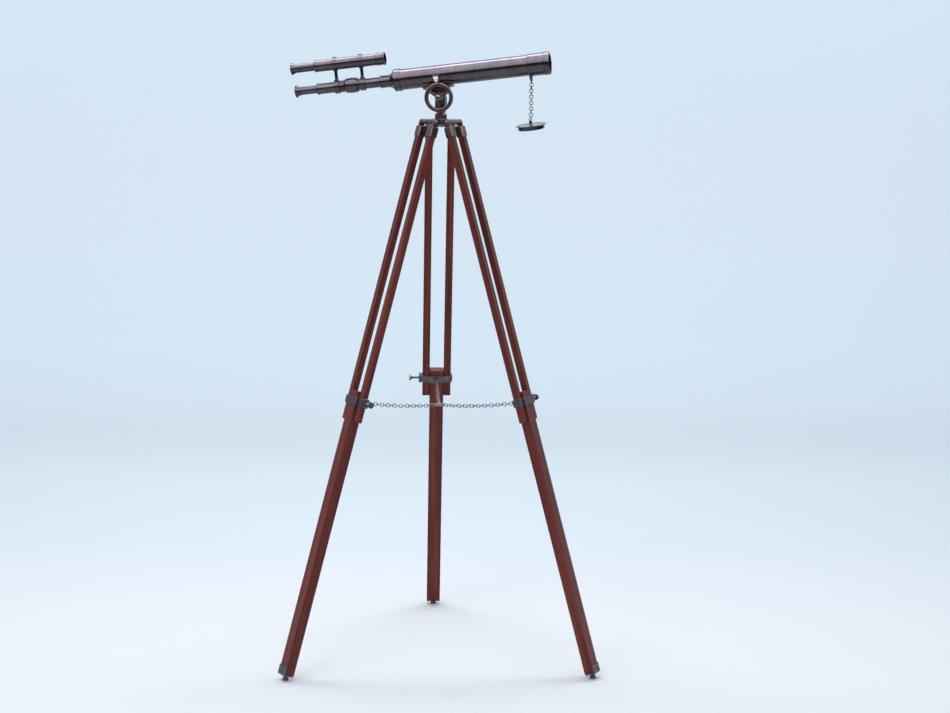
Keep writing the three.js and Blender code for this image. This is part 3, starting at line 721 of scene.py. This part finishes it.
def saddle_clip():
    """A bright wedge-shaped clip with a screw, wide at its +Y end; it faces +Z."""
    thickness = 2.4
    plate = slab([(-6.7, 7), (-2.6, -7.2), (2.6, -7.2), (6.7, 7)], thickness, 0.7)
    head = screw_head(2.4, 0.9, 40)
    return together(moved(plate, shift(0, 0, thickness / 2)), moved(head, shift(0, 2, thickness)))


def add_saddle():
    rebuild("saddle", "telescope", TUBE, saddle(), BRONZE)
    around = MAIN_AXIS @ shift(STRAP_PLACE, 0, 0) @ spin("X", 180 - CLIP_ANGLE)
    on_strap = around @ shift(0, 0, MAIN_RADIUS + 4.9)
    add("saddle_clip", "telescope", on_strap, saddle_clip(), NICKEL, "saddle_screw")


def lens(place, radius, thickness, bulge):
    """A lens about X, rounder on its front face."""
    back = place - thickness / 2
    front = place + thickness / 2
    face = [(front + bulge * (1 - (i / 6) ** 2), radius * i / 6) for i in range(6, -1, -1)]
    return turned([(back - 0.6, 0), (back - 0.3, radius * 0.6), (back, radius), *face], "X", 0.2)


MAIN_PIECES = {
    "main_tube": [(-113, 27), (262, 27), (262, 25), (-113, 25)],
    "objective_sleeve": [
        (238, 28.7), (239.2, 29.6), (241.6, 29.6), (242.6, 29.1), (278.5, 29.1), (279.3, 29.6),
        (281.4, 29.6), (281.4, 27.3), (238, 27.3),
    ],
    "objective_bezel": [
        (281.7, 29.4), (282.6, 30.2), (284.8, 30.2), (285.4, 29.6), (286.2, 29.6), (286.8, 30.2),
        (290.4, 30.2), (293.4, 29.5), (295.5, 28), (295.5, 26.4), (294.2, 25), (281.7, 25),
    ],
    "rear_flange": [
        (-127, 18), (-125.6, 19.6), (-121.5, 22.2), (-119.6, 24.6), (-118.6, 27), (-117.2, 28.7),
        (-115, 29.6), (-112.5, 29.6), (-111.6, 28.9), (-104.8, 28.9), (-104, 29.6), (-101.4, 29.6),
        (-100.6, 28.5), (-98.5, 28.3), (-98.5, 27.3), (-113.3, 27.3), (-113.3, 15.4), (-127, 15.4),
    ],
    "rear_stage": [
        (-156, 15.6), (-155, 17), (-152.4, 17), (-151.6, 16.2), (-131.6, 16.2), (-130.8, 17.2),
        (-128.3, 17.2), (-127.3, 16.4), (-127.3, 15.1), (-108, 15.1), (-108, 13.8), (-156, 13.8),
    ],
}


def drum_profile():
    """Two beads at the rear neck, a full round body with a fine bead near each end, and a plain
    front neck."""
    profile = [(-264.5, 14.5), (-263.6, 16), (-261.6, 16), (-260.8, 14.5), (-258.8, 14.5), (-258, 16.2),
               (-255.8, 16.2), (-255, 14.8), (-252.8, 14.8)]
    for i in range(25):
        t = i / 24
        bead = 0.7 if i in (3, 21) else 0
        profile.append((-252 + 37 * t, 16.2 + 4.1 * math.sin(math.pi * t) ** 0.5 + bead))
    profile += [(-214.6, 14.8), (-210.5, 14.6), (-210.5, 13.8), (-264.5, 13.8)]
    return profile


DRAW_PIECES = {
    "draw_tube": [(-264.5, 13.5), (-50, 13.5), (-50, 12), (-264.5, 12)],
    "relay_drum": drum_profile(),
    "eyepiece_sleeve": [
        (-328.7, 13.4), (-327.2, 15.2), (-323.6, 15.2), (-322, 14.4), (-320.6, 14.2), (-264.8, 14.2),
        (-264.8, 11.3), (-328.7, 11.3),
    ],
}

EYEPIECE = [
    (-387.5, 15.8), (-386.7, 16.8), (-385.5, 16.9), (-384.3, 16.3), (-382.5, 14.6), (-380.1, 12.9),
    (-377.5, 11.8), (-376.1, 11.6), (-375.3, 12.2), (-373.9, 12.2), (-373.1, 11.2), (-370.5, 10.9),
    (-292, 10.9), (-292, 9), (-376.5, 9), (-384.5, 13.6),
]

FINDER_PIECES = {
    "finder_tube": [
        (-329, 13.4), (-327.4, 15.4), (-326, 16), (-322.2, 16), (-321, 15.4), (-320, 15.3), (-159.7, 15.3),
        (-159.7, 12), (-329, 12),
    ],
    "finder_bezel": [
        (-159.4, 16.2), (-158.5, 17), (-155.9, 17), (-155.1, 16.2), (-141.1, 16.2), (-139.9, 17.1),
        (-137.9, 17.1), (-137, 16.3), (-137, 13.6), (-159.4, 13.6),
    ],
}

FINDER_EYEPIECE = [
    (-392.5, 15.2), (-391.7, 16.1), (-390.5, 16.1), (-389.1, 15.4), (-386.5, 13.9), (-383.5, 12.6),
    (-380.5, 11.8), (-377.5, 11.5), (-300, 11.5), (-300, 9.5), (-380.5, 9.5), (-389.5, 12.8),
]


def ring_profile(bore, outer):
    half = RING_HALF_WIDTH
    return [(-half, outer - 0.8), (1 - half, outer), (-1.5, outer), (-0.8, outer - 0.8), (0.8, outer - 0.8),
            (1.5, outer), (half - 1, outer), (half, outer - 0.8), (half, bore), (-half, bore)]


def finder_bracket(main_bore, main_radius):
    """A grooved ring on each telescope and a turned post between them."""
    lower = turned(ring_profile(main_bore, main_radius))
    upper_bore = FINDER_RADIUS + GAP
    upper = moved(turned(ring_profile(upper_bore, 17.4)), shift(0, 0, FINDER_OFFSET))
    low = main_radius - 1.4
    high = FINDER_OFFSET - 16
    post = turned([(low, 0), (low, 6), (low + 2.4, 6), (low + 4, 4.3), (high - 3.4, 4.3), (high - 2, 5.6),
                   (high, 5.6), (high, 0)], "Z", 0.6, 48)
    return fused(lower, upper, post)


def clamp_screw_head():
    """A low knurled screw on top of a finder ring."""
    return moved(slab(fluted(4.2, 16, 0.3), 2, 0.5), shift(0, 0, 0.7))


def fluted(radius, count, depth):
    """A round outline with a wave round its edge."""
    outline = []
    for i in range(count * 4):
        distance = radius - depth * (0, 0.5, 1, 0.5)[i % 4]
        outline.append(polar(distance, 90 * i / count))
    return outline


def add_telescope():
    add_saddle()
    for node, profile in MAIN_PIECES.items():
        rebuild(node, "telescope", MAIN_AXIS, turned(profile), TURNED)
    rebuild("objective_lens", "telescope", MAIN_AXIS, lens(268, 27, 5, 2.5), GLASS)
    for node, profile in DRAW_PIECES.items():
        rebuild(node, "draw", MAIN_AXIS, turned(profile), TURNED)
    for node, profile in FINDER_PIECES.items():
        rebuild(node, "draw", FINDER_AXIS, turned(profile), TURNED)
    rebuild("finder_lens", "draw", FINDER_AXIS, lens(-151.5, 13.3, 4, 1.5), GLASS)
    rebuild("eyepiece", "eyepiece", MAIN_AXIS, turned(EYEPIECE), TURNED)
    rebuild("eyepiece_lens", "eyepiece", MAIN_AXIS, lens(-372.5, 8.7, 3, 1), GLASS)
    rebuild("finder_eyepiece", "finder_eyepiece", FINDER_AXIS, turned(FINDER_EYEPIECE), TURNED)
    rings = (("rear", REAR_RING, EYE_SLEEVE_RADIUS, 18), ("front", FRONT_RING, DRAW_RADIUS, 17.4))
    for name, place, radius, outer in rings:
        at_ring = MAIN_AXIS @ shift(place, 0, 0)
        rebuild(f"finder_bracket_{name}", "draw", at_ring, finder_bracket(radius + GAP, outer), TURNED)
        on_top = at_ring @ shift(0, 0, FINDER_OFFSET + 17.2)
        add(f"finder_screw_{name}", "draw", on_top, clamp_screw_head(), TURNED)


# -------------------- chains and dust cap


def link(length, width, thickness):
    """One oval chain link in the X-Y plane, long in X."""
    radius = (width - thickness) / 2
    straight = (length - width) / 2
    path = []
    for i in range(24):
        angle = 2 * math.pi * (i + 0.5) / 24
        x = radius * math.cos(angle) + math.copysign(straight, math.cos(angle))
        path.append(Vector((x, radius * math.sin(angle), 0)))
    return wire(path, thickness / 2)


def along_path(points, distance):
    """The point at a distance along a polyline, and the direction there."""
    for start, end in zip(points, points[1:]):
        step = (end - start).length
        if distance <= step or end is points[-1]:
            direction = (end - start).normalized()
            return start + direction * distance, direction
        distance -= step


def chain(points, side, size, twist):
    """Links along a polyline. Each is a quarter turn from the last, and the whole chain is twisted
    by `twist` degrees from one end to the other."""
    length, _, thickness = size
    total = sum((b - a).length for a, b in zip(points, points[1:]))
    pitch = length - 2 * thickness - 0.1
    count = round((total - length) / pitch) + 1
    pitch = (total - length) / (count - 1)
    links = []
    for i in range(count):
        centre, direction = along_path(points, length / 2 + i * pitch)
        across = side.cross(direction).normalized()
        axes = Matrix((direction, side, across)).transposed().to_4x4()
        roll = 90 * i + twist * i / count + 7 * math.sin(2.4 * i)
        links.append(moved(link(*size), Matrix.Translation(centre) @ axes @ spin("X", roll)))
    return together(*links)


def torus(radius, thickness):
    path = [Vector((*polar(radius, 360 * i / 48), 0)) for i in range(48)]
    return wire(path, thickness, 14)


def leg_chain_path():
    """From the collar's eye to the centre ring, in the leg's hub frame, with a little sag."""
    at_eye = shift(0, HINGE_RADIUS, HINGE_HEIGHT) @ spin("X", SPLAY) @ Vector((0, EYE_Y, -COLLAR_PLACE))
    start = at_eye + Vector((0, -0.4, -0.5))
    end = Vector((0, RING_RADIUS - 0.8, RING_HEIGHT))
    points = []
    for i in range(25):
        t = i / 24
        points.append(start.lerp(end, t) - Vector((0, 0, CHAIN_SAG * 4 * t * (1 - t))))
    return points


def add_chains():
    for name in LEGS:
        solid = chain(leg_chain_path(), Vector((1, 0, 0)), LEG_LINK, 25)
        rebuild(f"{name}_leg_chain", f"{name}_chain", leg_hub(name), solid, RUBBED_IRON)
    ring = moved(torus(RING_RADIUS, RING_WIRE), shift(0, 0, RING_HEIGHT))
    rebuild("chain_ring", "back_chain", HUB, ring, RUBBED_IRON)


def dust_cap():
    """A flanged lid with a skirt, a bead round its edge and a turned grip in the middle."""
    return turned([
        (-2.5, 0), (-2.5, 32.4), (-12, 33), (-12, 34.2), (-11, 34.7), (-3.4, 34.7), (-2.6, 38),
        (-1.8, 39.6), (-0.6, 39.6), (0, 38.6), (0.1, 35.6), (-0.5, 34.4), (-0.5, 8), (0.4, 6),
        (2, 4.4), (8.2, 3.9), (9.2, 4.3), (10.4, 3.4), (10.8, 0),
    ], "Z", 0.4, 120)


def cap_lug():
    """A small foot under the sleeve with a pierced tongue for the chain."""
    top = AXIS_OFFSET - SLEEVE_RADIUS - GAP
    foot = block(5, 4.6, (top - 3, top))
    tongue = block(3.2, 4.4, (top - 11.5, top - 2), 1.2)
    hole = moved(rod(-6, 6, 2.2, "X", 0, 32), shift(0, 0, top - 8))
    return carved(fused(foot, tongue), hole)


def add_cap():
    rebuild("cap_lug", "telescope", TUBE @ shift(LUG_PLACE, 0, 0), cap_lug(), IRON)
    points = [Vector((0, 0, 4.5 - i * (CAP_CHAIN_LENGTH + 6) / 8)) for i in range(9)]
    rebuild("cap_chain", "cap", HANGING, chain(points, Vector((0, 1, 0)), CAP_LINK, 12), IRON)
    rebuild("dust_cap", "cap", CAP, dust_cap(), TURNED_UP)
    eye = moved(torus(3.4, 0.9), shift(0, 0, 14) @ spin("X", 90) @ spin("Y", 15))
    add("cap_eye", "cap", CAP, eye, IRON)


# -------------------- legs


def leg_bracket():
    """Two ferrules joined by a thin bar, with an ear at each outer end for the hinge pin."""
    w = STICK_WIDTH / 2 + FERRULE_WALL + GAP
    d = STICK_DEPTH / 2 + FERRULE_WALL + GAP
    x = STICK_SPACING / 2
    parts = []
    sockets = []
    for side in (-1, 1):
        centre = side * x
        ferrule_x = (centre - w, centre + w)
        parts.append(round_cornered(ferrule_x, (-d, d), (-FERRULE_BOTTOM, -FERRULE_TOP), 4.2, 0.7))
        hollow_x = (centre - w + FERRULE_WALL, centre + w - FERRULE_WALL)
        hollow_y = (FERRULE_WALL - d, d - FERRULE_WALL)
        sockets.append(brick(hollow_x, hollow_y, (-FERRULE_BOTTOM - 3, -STICK_TOP + GAP), 0))
        ear_x = sorted((side * EAR_INNER, side * EAR_OUTER))
        parts.append(brick(ear_x, (-EAR_RADIUS, EAR_RADIUS), (-FERRULE_TOP - 1, 0), 0.7))
        parts.append(rod(*ear_x, EAR_RADIUS, "X", 0.7))
    parts.append(block(EAR_INNER + 1, 3, (-FERRULE_TOP - 1, -FERRULE_TOP + 3.2)))
    bore = rod(-CUT_REACH, CUT_REACH, PIN_RADIUS + GAP, "X", 0, 32)
    return carved(fused(*parts), *sockets, bore)


def hinge_pin():
    """A pin with a domed head at each end."""
    end = EAR_OUTER + GAP
    head = PIN_HEAD_RADIUS
    right_half = [(end, PIN_RADIUS), (end, head), (end + 0.4, head), (end + 2, 4.6), (end + 3, 3),
                  (end + 3.4, 0)]
    left_half = [(-x, radius) for x, radius in reversed(right_half)]
    return turned(left_half + right_half, "X", 0.3, 48)


def clamp_collar():
    """A band round the sticks and the lower leg, with a threaded lug, a pad and the chain's eye."""
    inner_x = (STICK_SPACING + STICK_WIDTH) / 2 + GAP
    side_y = STICK_DEPTH / 2 + GAP
    middle_x = LOWER_WIDTH / 2 + GAP
    middle_y = LOWER_DEPTH / 2 + GAP
    wall = COLLAR_WALL
    x = inner_x + wall
    y = middle_y + wall
    half = COLLAR_HEIGHT / 2
    band = round_cornered((-x, x), (-side_y - wall, side_y + wall), (-half, half), 3, 0.8)
    waist = round_cornered((-middle_x - wall, middle_x + wall), (-y, y), (-half, half), 2.5, 0.8)
    lug = brick((-x - COLLAR_LUG, 1 - x), (-8, 8), (-12, 12), 2)
    pad = brick((x - 1, x + 1.5), (-5, 5), (-7, 7), 0.7)
    root = brick((-2, 2), (EYE_Y, 1 - y), (-EYE_RADIUS, EYE_RADIUS), 0.5)
    eye = moved(rod(-2, 2, EYE_RADIUS, "X", 0.6), shift(0, EYE_Y, 0))
    hollow = block(inner_x, side_y, (-half - 3, half + 3), 0)
    middle_hollow = block(middle_x, middle_y, (-half - 3, half + 3), 0)
    eye_hole = moved(rod(-5, 5, EYE_HOLE, "X", 0, 32), shift(0, EYE_Y, 0))
    thread = rod(-x - 12, 1 - inner_x, PIN_RADIUS + GAP, "X", 0, 32)
    return carved(fused(band, waist, lug, pad, root, eye), hollow, middle_hollow, eye_hole, thread)


def clamp_screw():
    """A threaded shank with a shoulder and a fluted thumb knob, about X."""
    start = (STICK_SPACING + STICK_WIDTH) / 2 + 2 * GAP
    knob_back = -start - KNOB_REACH - KNOB_THICKNESS
    knob_front = -start - KNOB_REACH
    profile = [(knob_back + 2, 0), (knob_back + 2, PIN_RADIUS), (knob_front, 5), (knob_front + 2.6, 5),
               (knob_front + 3.4, PIN_RADIUS)]
    place = knob_front + 5
    while place < -start - 1.5:
        profile += [(place, PIN_RADIUS), (place + 0.45, PIN_RADIUS - 0.4)]
        place += 0.9
    profile += [(-start - 0.6, PIN_RADIUS), (-start, PIN_RADIUS - 0.6), (-start, 0)]
    shank = turned(profile, "X", 0.1, 32)
    knob = slab(fluted(KNOB_RADIUS, 18, 0.55), KNOB_THICKNESS, 0.7)
    knob = moved(knob, shift((knob_back + knob_front) / 2, 0, 0) @ spin("Y", 90))
    return fused(knob, shank)


def foot_bracket():
    """An angle bracket: one wall up the leg's outer face and a sole under its end."""
    face = LOWER_DEPTH / 2 + GAP
    end = -LOWER_BOTTOM - GAP
    half = LOWER_WIDTH / 2
    upper = brick((-half, half), (face, face + FOOT_WALL), (end - FOOT_SOLE, end + FOOT_RISE), 0.7)
    lower = brick((-half, half), (-face + 2, face + FOOT_WALL), (end - FOOT_SOLE, end), 0.7)
    return fused(upper, lower)


def foot_button():
    """A round button that stands upright on the floor, its top cut to the slope of the bracket."""
    radius = BUTTON_RADIUS
    button = turned([(0, 0), (0, radius - 1.2), (0.5, radius - 0.4), (1.6, radius), (6.4, radius),
                     (7.2, radius - 1.6), (BUTTON_HEIGHT, radius - 1.6), (BUTTON_HEIGHT, 0)], "Z", 0.3, 64)
    gap_below = LOWER_BOTTOM + 2 * GAP + FOOT_SOLE
    hinge = shift(0, HINGE_RADIUS, HINGE_HEIGHT) @ spin("X", SPLAY)
    above = moved(block(40, 40, (0, 60), 0), hinge @ shift(0, 0, -gap_below))
    return carved(moved(button, shift(0, FOOT_RADIUS - 2, 0)), above)


def add_wood(name, number, place):
    spacing = STICK_SPACING / 2
    for i, (side, x) in enumerate((("a", -spacing), ("b", spacing))):
        stick = block(STICK_WIDTH / 2, STICK_DEPTH / 2, (-STICK_BOTTOM, -STICK_TOP), 1.6)
        wood = STICK_BOARDS[(2 * number + i) % 4]
        rebuild(f"{name}_upper_stick_{side}", f"{name}_leg", place @ shift(x, 0, 0), stick, wood)
    lower = block(LOWER_WIDTH / 2, LOWER_DEPTH / 2, (-LOWER_BOTTOM, -LOWER_TOP), 1.3)
    rebuild(f"{name}_lower_leg", f"{name}_lower", place, lower, LOWER_BOARDS[number])


def add_leg(name, number):
    place = leg_frame(name)
    at_collar = place @ shift(0, 0, -COLLAR_PLACE)
    upper = f"{name}_leg"
    rebuild(f"{name}_leg_pin", upper, place, hinge_pin(), RUBBED_IRON)
    rebuild(f"{name}_leg_bracket", upper, place, leg_bracket(), BRONZE)
    add_wood(name, number, place)
    rebuild(f"{name}_clamp_collar", upper, at_collar, clamp_collar(), IRON)
    rebuild(f"{name}_clamp_screw", f"{name}_screw", at_collar, clamp_screw(), IRON)
    lower = f"{name}_lower"
    rebuild(f"{name}_foot_bracket", lower, place, foot_bracket(), IRON)
    rebuild(f"{name}_foot_button", lower, leg_hub(name), foot_button(), IRON)
    sole_face = place @ shift(0, LOWER_DEPTH / 2 + GAP + FOOT_WALL, 11 - LOWER_BOTTOM)
    add_screws(f"{name}_foot_screw", lower, sole_face, 10, (3.4, 2, 70), RUBBED_IRON)
    ferrule_face = place @ shift(0, STICK_DEPTH / 2 + FERRULE_WALL + GAP, 9 - FERRULE_BOTTOM)
    add_screws(f"{name}_ferrule_screw", upper, ferrule_face, STICK_SPACING / 2, (2.2, 1, 50), IRON)


def add_screws(name, body, face, across, size, material):
    """Two screws on an outer face. The size is a radius, a height and the slot's turn per mm."""
    radius, height, turn = size
    for side, x in (("a", -across), ("b", across)):
        spot = face @ shift(x, 0, 0) @ spin("X", -90)
        add(f"{name}_{side}", body, spot, screw_head(radius, height, turn * x), material)


# -------------------- studio

BACKDROP_START = 2.6
BACKDROP_RADIUS = 2.4
BACKDROP_TOP = 7.0
FLOOR_FRONT = -9.0
STAGE_HALF_WIDTH = 9.0
CAMERA_PLACE = (0.0846, -4.946, 1.5661)
CAMERA_PITCH, CAMERA_ROLL = 8.774, 0.551
SENSOR_WIDTH, FOCAL_LENGTH = 36, 69.53


def backdrop_mesh():
    """A pale floor that sweeps up into a wall behind the object, in metres."""
    profile = [(FLOOR_FRONT, 0), (BACKDROP_START - 2, 0)]
    for i in range(25):
        rise, reach = polar(BACKDROP_RADIUS, 90 * i / 24)
        profile.append((BACKDROP_START + reach, BACKDROP_RADIUS - rise))
    profile.append((BACKDROP_START + BACKDROP_RADIUS, BACKDROP_TOP))
    solid = bmesh.new()
    rows = []
    for x in (-STAGE_HALF_WIDTH, STAGE_HALF_WIDTH):
        rows.append([solid.verts.new((x, y, z)) for y, z in profile])
    for i in range(len(profile) - 1):
        solid.faces.new([rows[0][i], rows[1][i], rows[1][i + 1], rows[0][i + 1]])
    mesh = bpy.data.meshes.new("studio_backdrop")
    solid.to_mesh(mesh)
    solid.free()
    mesh.shade_smooth()
    return mesh


def backdrop_material():
    """Pale paper that turns a little bluer as it goes up, with a painted glow that brightens it upwards and
    painted shade that dims it at middle depths.
    """
    surface = Surface("studio_paper")
    axes = surface.axes()
    height = surface.map(axes["Z"], 0, 3).outputs["Result"]
    depth = surface.map(axes["Y"], -1.2, BACKDROP_START).outputs["Result"]
    colour = surface.ramp(height, [(0, (0.8, 0.83, 0.84)), (0.5, (0.66, 0.74, 0.82)), (1, (0.6, 0.7, 0.8))])
    # painted glow: emission that brightens the paper more the higher it is, though it is no lamp
    painted_glow = surface.ramp(height, [
        (0, (0, 0, 0)), (0.03, (0.07, 0.083, 0.093)), (0.09, (0.131, 0.16, 0.184)),
        (0.23, (0.211, 0.237, 0.24)), (0.39, (0.273, 0.298, 0.297)), (0.54, (0.323, 0.353, 0.351)),
        (0.63, (0.349, 0.385, 0.383)), (1, (0.43, 0.47, 0.46)),
    ])
    # painted shade: the paper's colour is darkened and slightly tinted at middle depths
    painted_depth_shade = surface.ramp(depth, [
        (0, (0.98, 0.97, 0.96)), (0.42, (0.905, 0.9, 0.895)), (0.61, (0.865, 0.895, 0.925)),
        (0.855, (0.91, 0.97, 0.985)), (1, (0.91, 0.97, 0.985)),
    ])
    surface.link(surface.multiplied(colour, painted_depth_shade, 1), surface.shader, "Base Color")
    surface.link(painted_glow, surface.shader, "Emission Color")
    surface.set(Roughness=0.9, Emission_Strength=1)
    return surface.material


def add_stage():
    mesh = backdrop_mesh()
    mesh.materials.append(backdrop_material())
    backdrop = bpy.data.objects.new("studio_backdrop", mesh)
    bpy.context.scene.collection.objects.link(backdrop)


def add_area_light(name, place, target, size, power, colour, mirrored):
    data = bpy.data.lights.new(name, "AREA")
    data.shape = "RECTANGLE"
    data.size, data.size_y = size
    data.energy = power
    data.color = colour
    light = bpy.data.objects.new(name, data)
    light.visible_glossy = mirrored
    light.location = place
    light.rotation_euler = (Vector(target) - Vector(place)).to_track_quat("-Z", "Y").to_euler()
    bpy.context.scene.collection.objects.link(light)


def chosen(tree, ray, usual, instead):
    """The colour `instead` for one kind of ray and the usual one for the others."""
    mix = mixed(tree, usual, instead)
    tree.links.new(ray, mix.inputs["Factor"])
    return mix.outputs["Result"]


def add_world():
    """Soft light from above. Metal mirrors a brighter ceiling over a dark band, and the camera sees
    a plain pale blue where the backdrop ends."""
    world = bpy.data.worlds.new("studio")
    world.use_nodes = True
    bpy.context.scene.world = world
    tree = world.node_tree
    direction = tree.nodes.new("ShaderNodeTexCoord").outputs["Generated"]
    split = tree.nodes.new("ShaderNodeSeparateXYZ")
    tree.links.new(direction, split.inputs["Vector"])
    height = split.outputs["Z"]
    light = colour_ramp(tree, height, [
        (0, (0.08, 0.07, 0.08)), (0.2, (0.1, 0.09, 0.1)), (0.36, (0.56, 0.58, 0.68)),
        (1, (0.7, 0.75, 0.84)),
    ])
    mirrored = colour_ramp(tree, height, [
        (0, (0.12, 0.1, 0.1)), (0.26, (0.16, 0.14, 0.15)), (0.36, (2.5, 2.6, 3.1)), (0.9, (3.6, 3.7, 4.3)),
    ])
    pale = colour_ramp(tree, height, [(0, (0.66, 0.775, 0.88)), (1, (0.66, 0.775, 0.88))])
    ray = tree.nodes.new("ShaderNodeLightPath").outputs
    colour = chosen(tree, ray["Is Glossy Ray"], light, mirrored)
    colour = chosen(tree, ray["Is Camera Ray"], colour, pale)
    tree.links.new(colour, tree.nodes["Background"].inputs["Color"])


def add_camera():
    """Eye height, looking slightly down at the whole object."""
    pitch = math.radians(CAMERA_PITCH)
    roll = math.radians(CAMERA_ROLL)
    forward = Vector((0, math.cos(pitch), -math.sin(pitch)))
    level_up = Vector((0, math.sin(pitch), math.cos(pitch)))
    sideways = Vector((1, 0, 0))
    right = sideways * math.cos(roll) + level_up * math.sin(roll)
    up = level_up * math.cos(roll) - sideways * math.sin(roll)
    data = bpy.data.cameras.new("camera")
    data.sensor_width = SENSOR_WIDTH
    data.lens = FOCAL_LENGTH
    camera = bpy.data.objects.new("camera", data)
    axes = Matrix((right, up, -forward)).transposed().to_4x4()
    camera.matrix_world = Matrix.Translation(CAMERA_PLACE) @ axes
    bpy.context.scene.collection.objects.link(camera)
    bpy.context.scene.camera = camera


def add_studio():
    """The backdrop, a long light over the tube and a wide one from the front that metal doesn't mirror."""
    add_world()
    add_stage()
    add_area_light("overhead", (0, 0.55, 3.3), (0, 0, 1.55), (3.0, 0.7), 52, (1, 1, 1), True)
    add_area_light("front_fill", (-2.2, -3.4, 3.6), (0, 0, 0.9), (2.2, 2.2), 45, (1, 0.97, 0.95), False)
    bpy.context.scene.view_settings.view_transform = "Standard"


# -------------------- the whole object

add_camera()
add_studio()
add_head()
add_column()
add_telescope()
add_cap()
for leg_number, leg_name in enumerate(LEGS):
    add_leg(leg_name, leg_number)
add_chains()
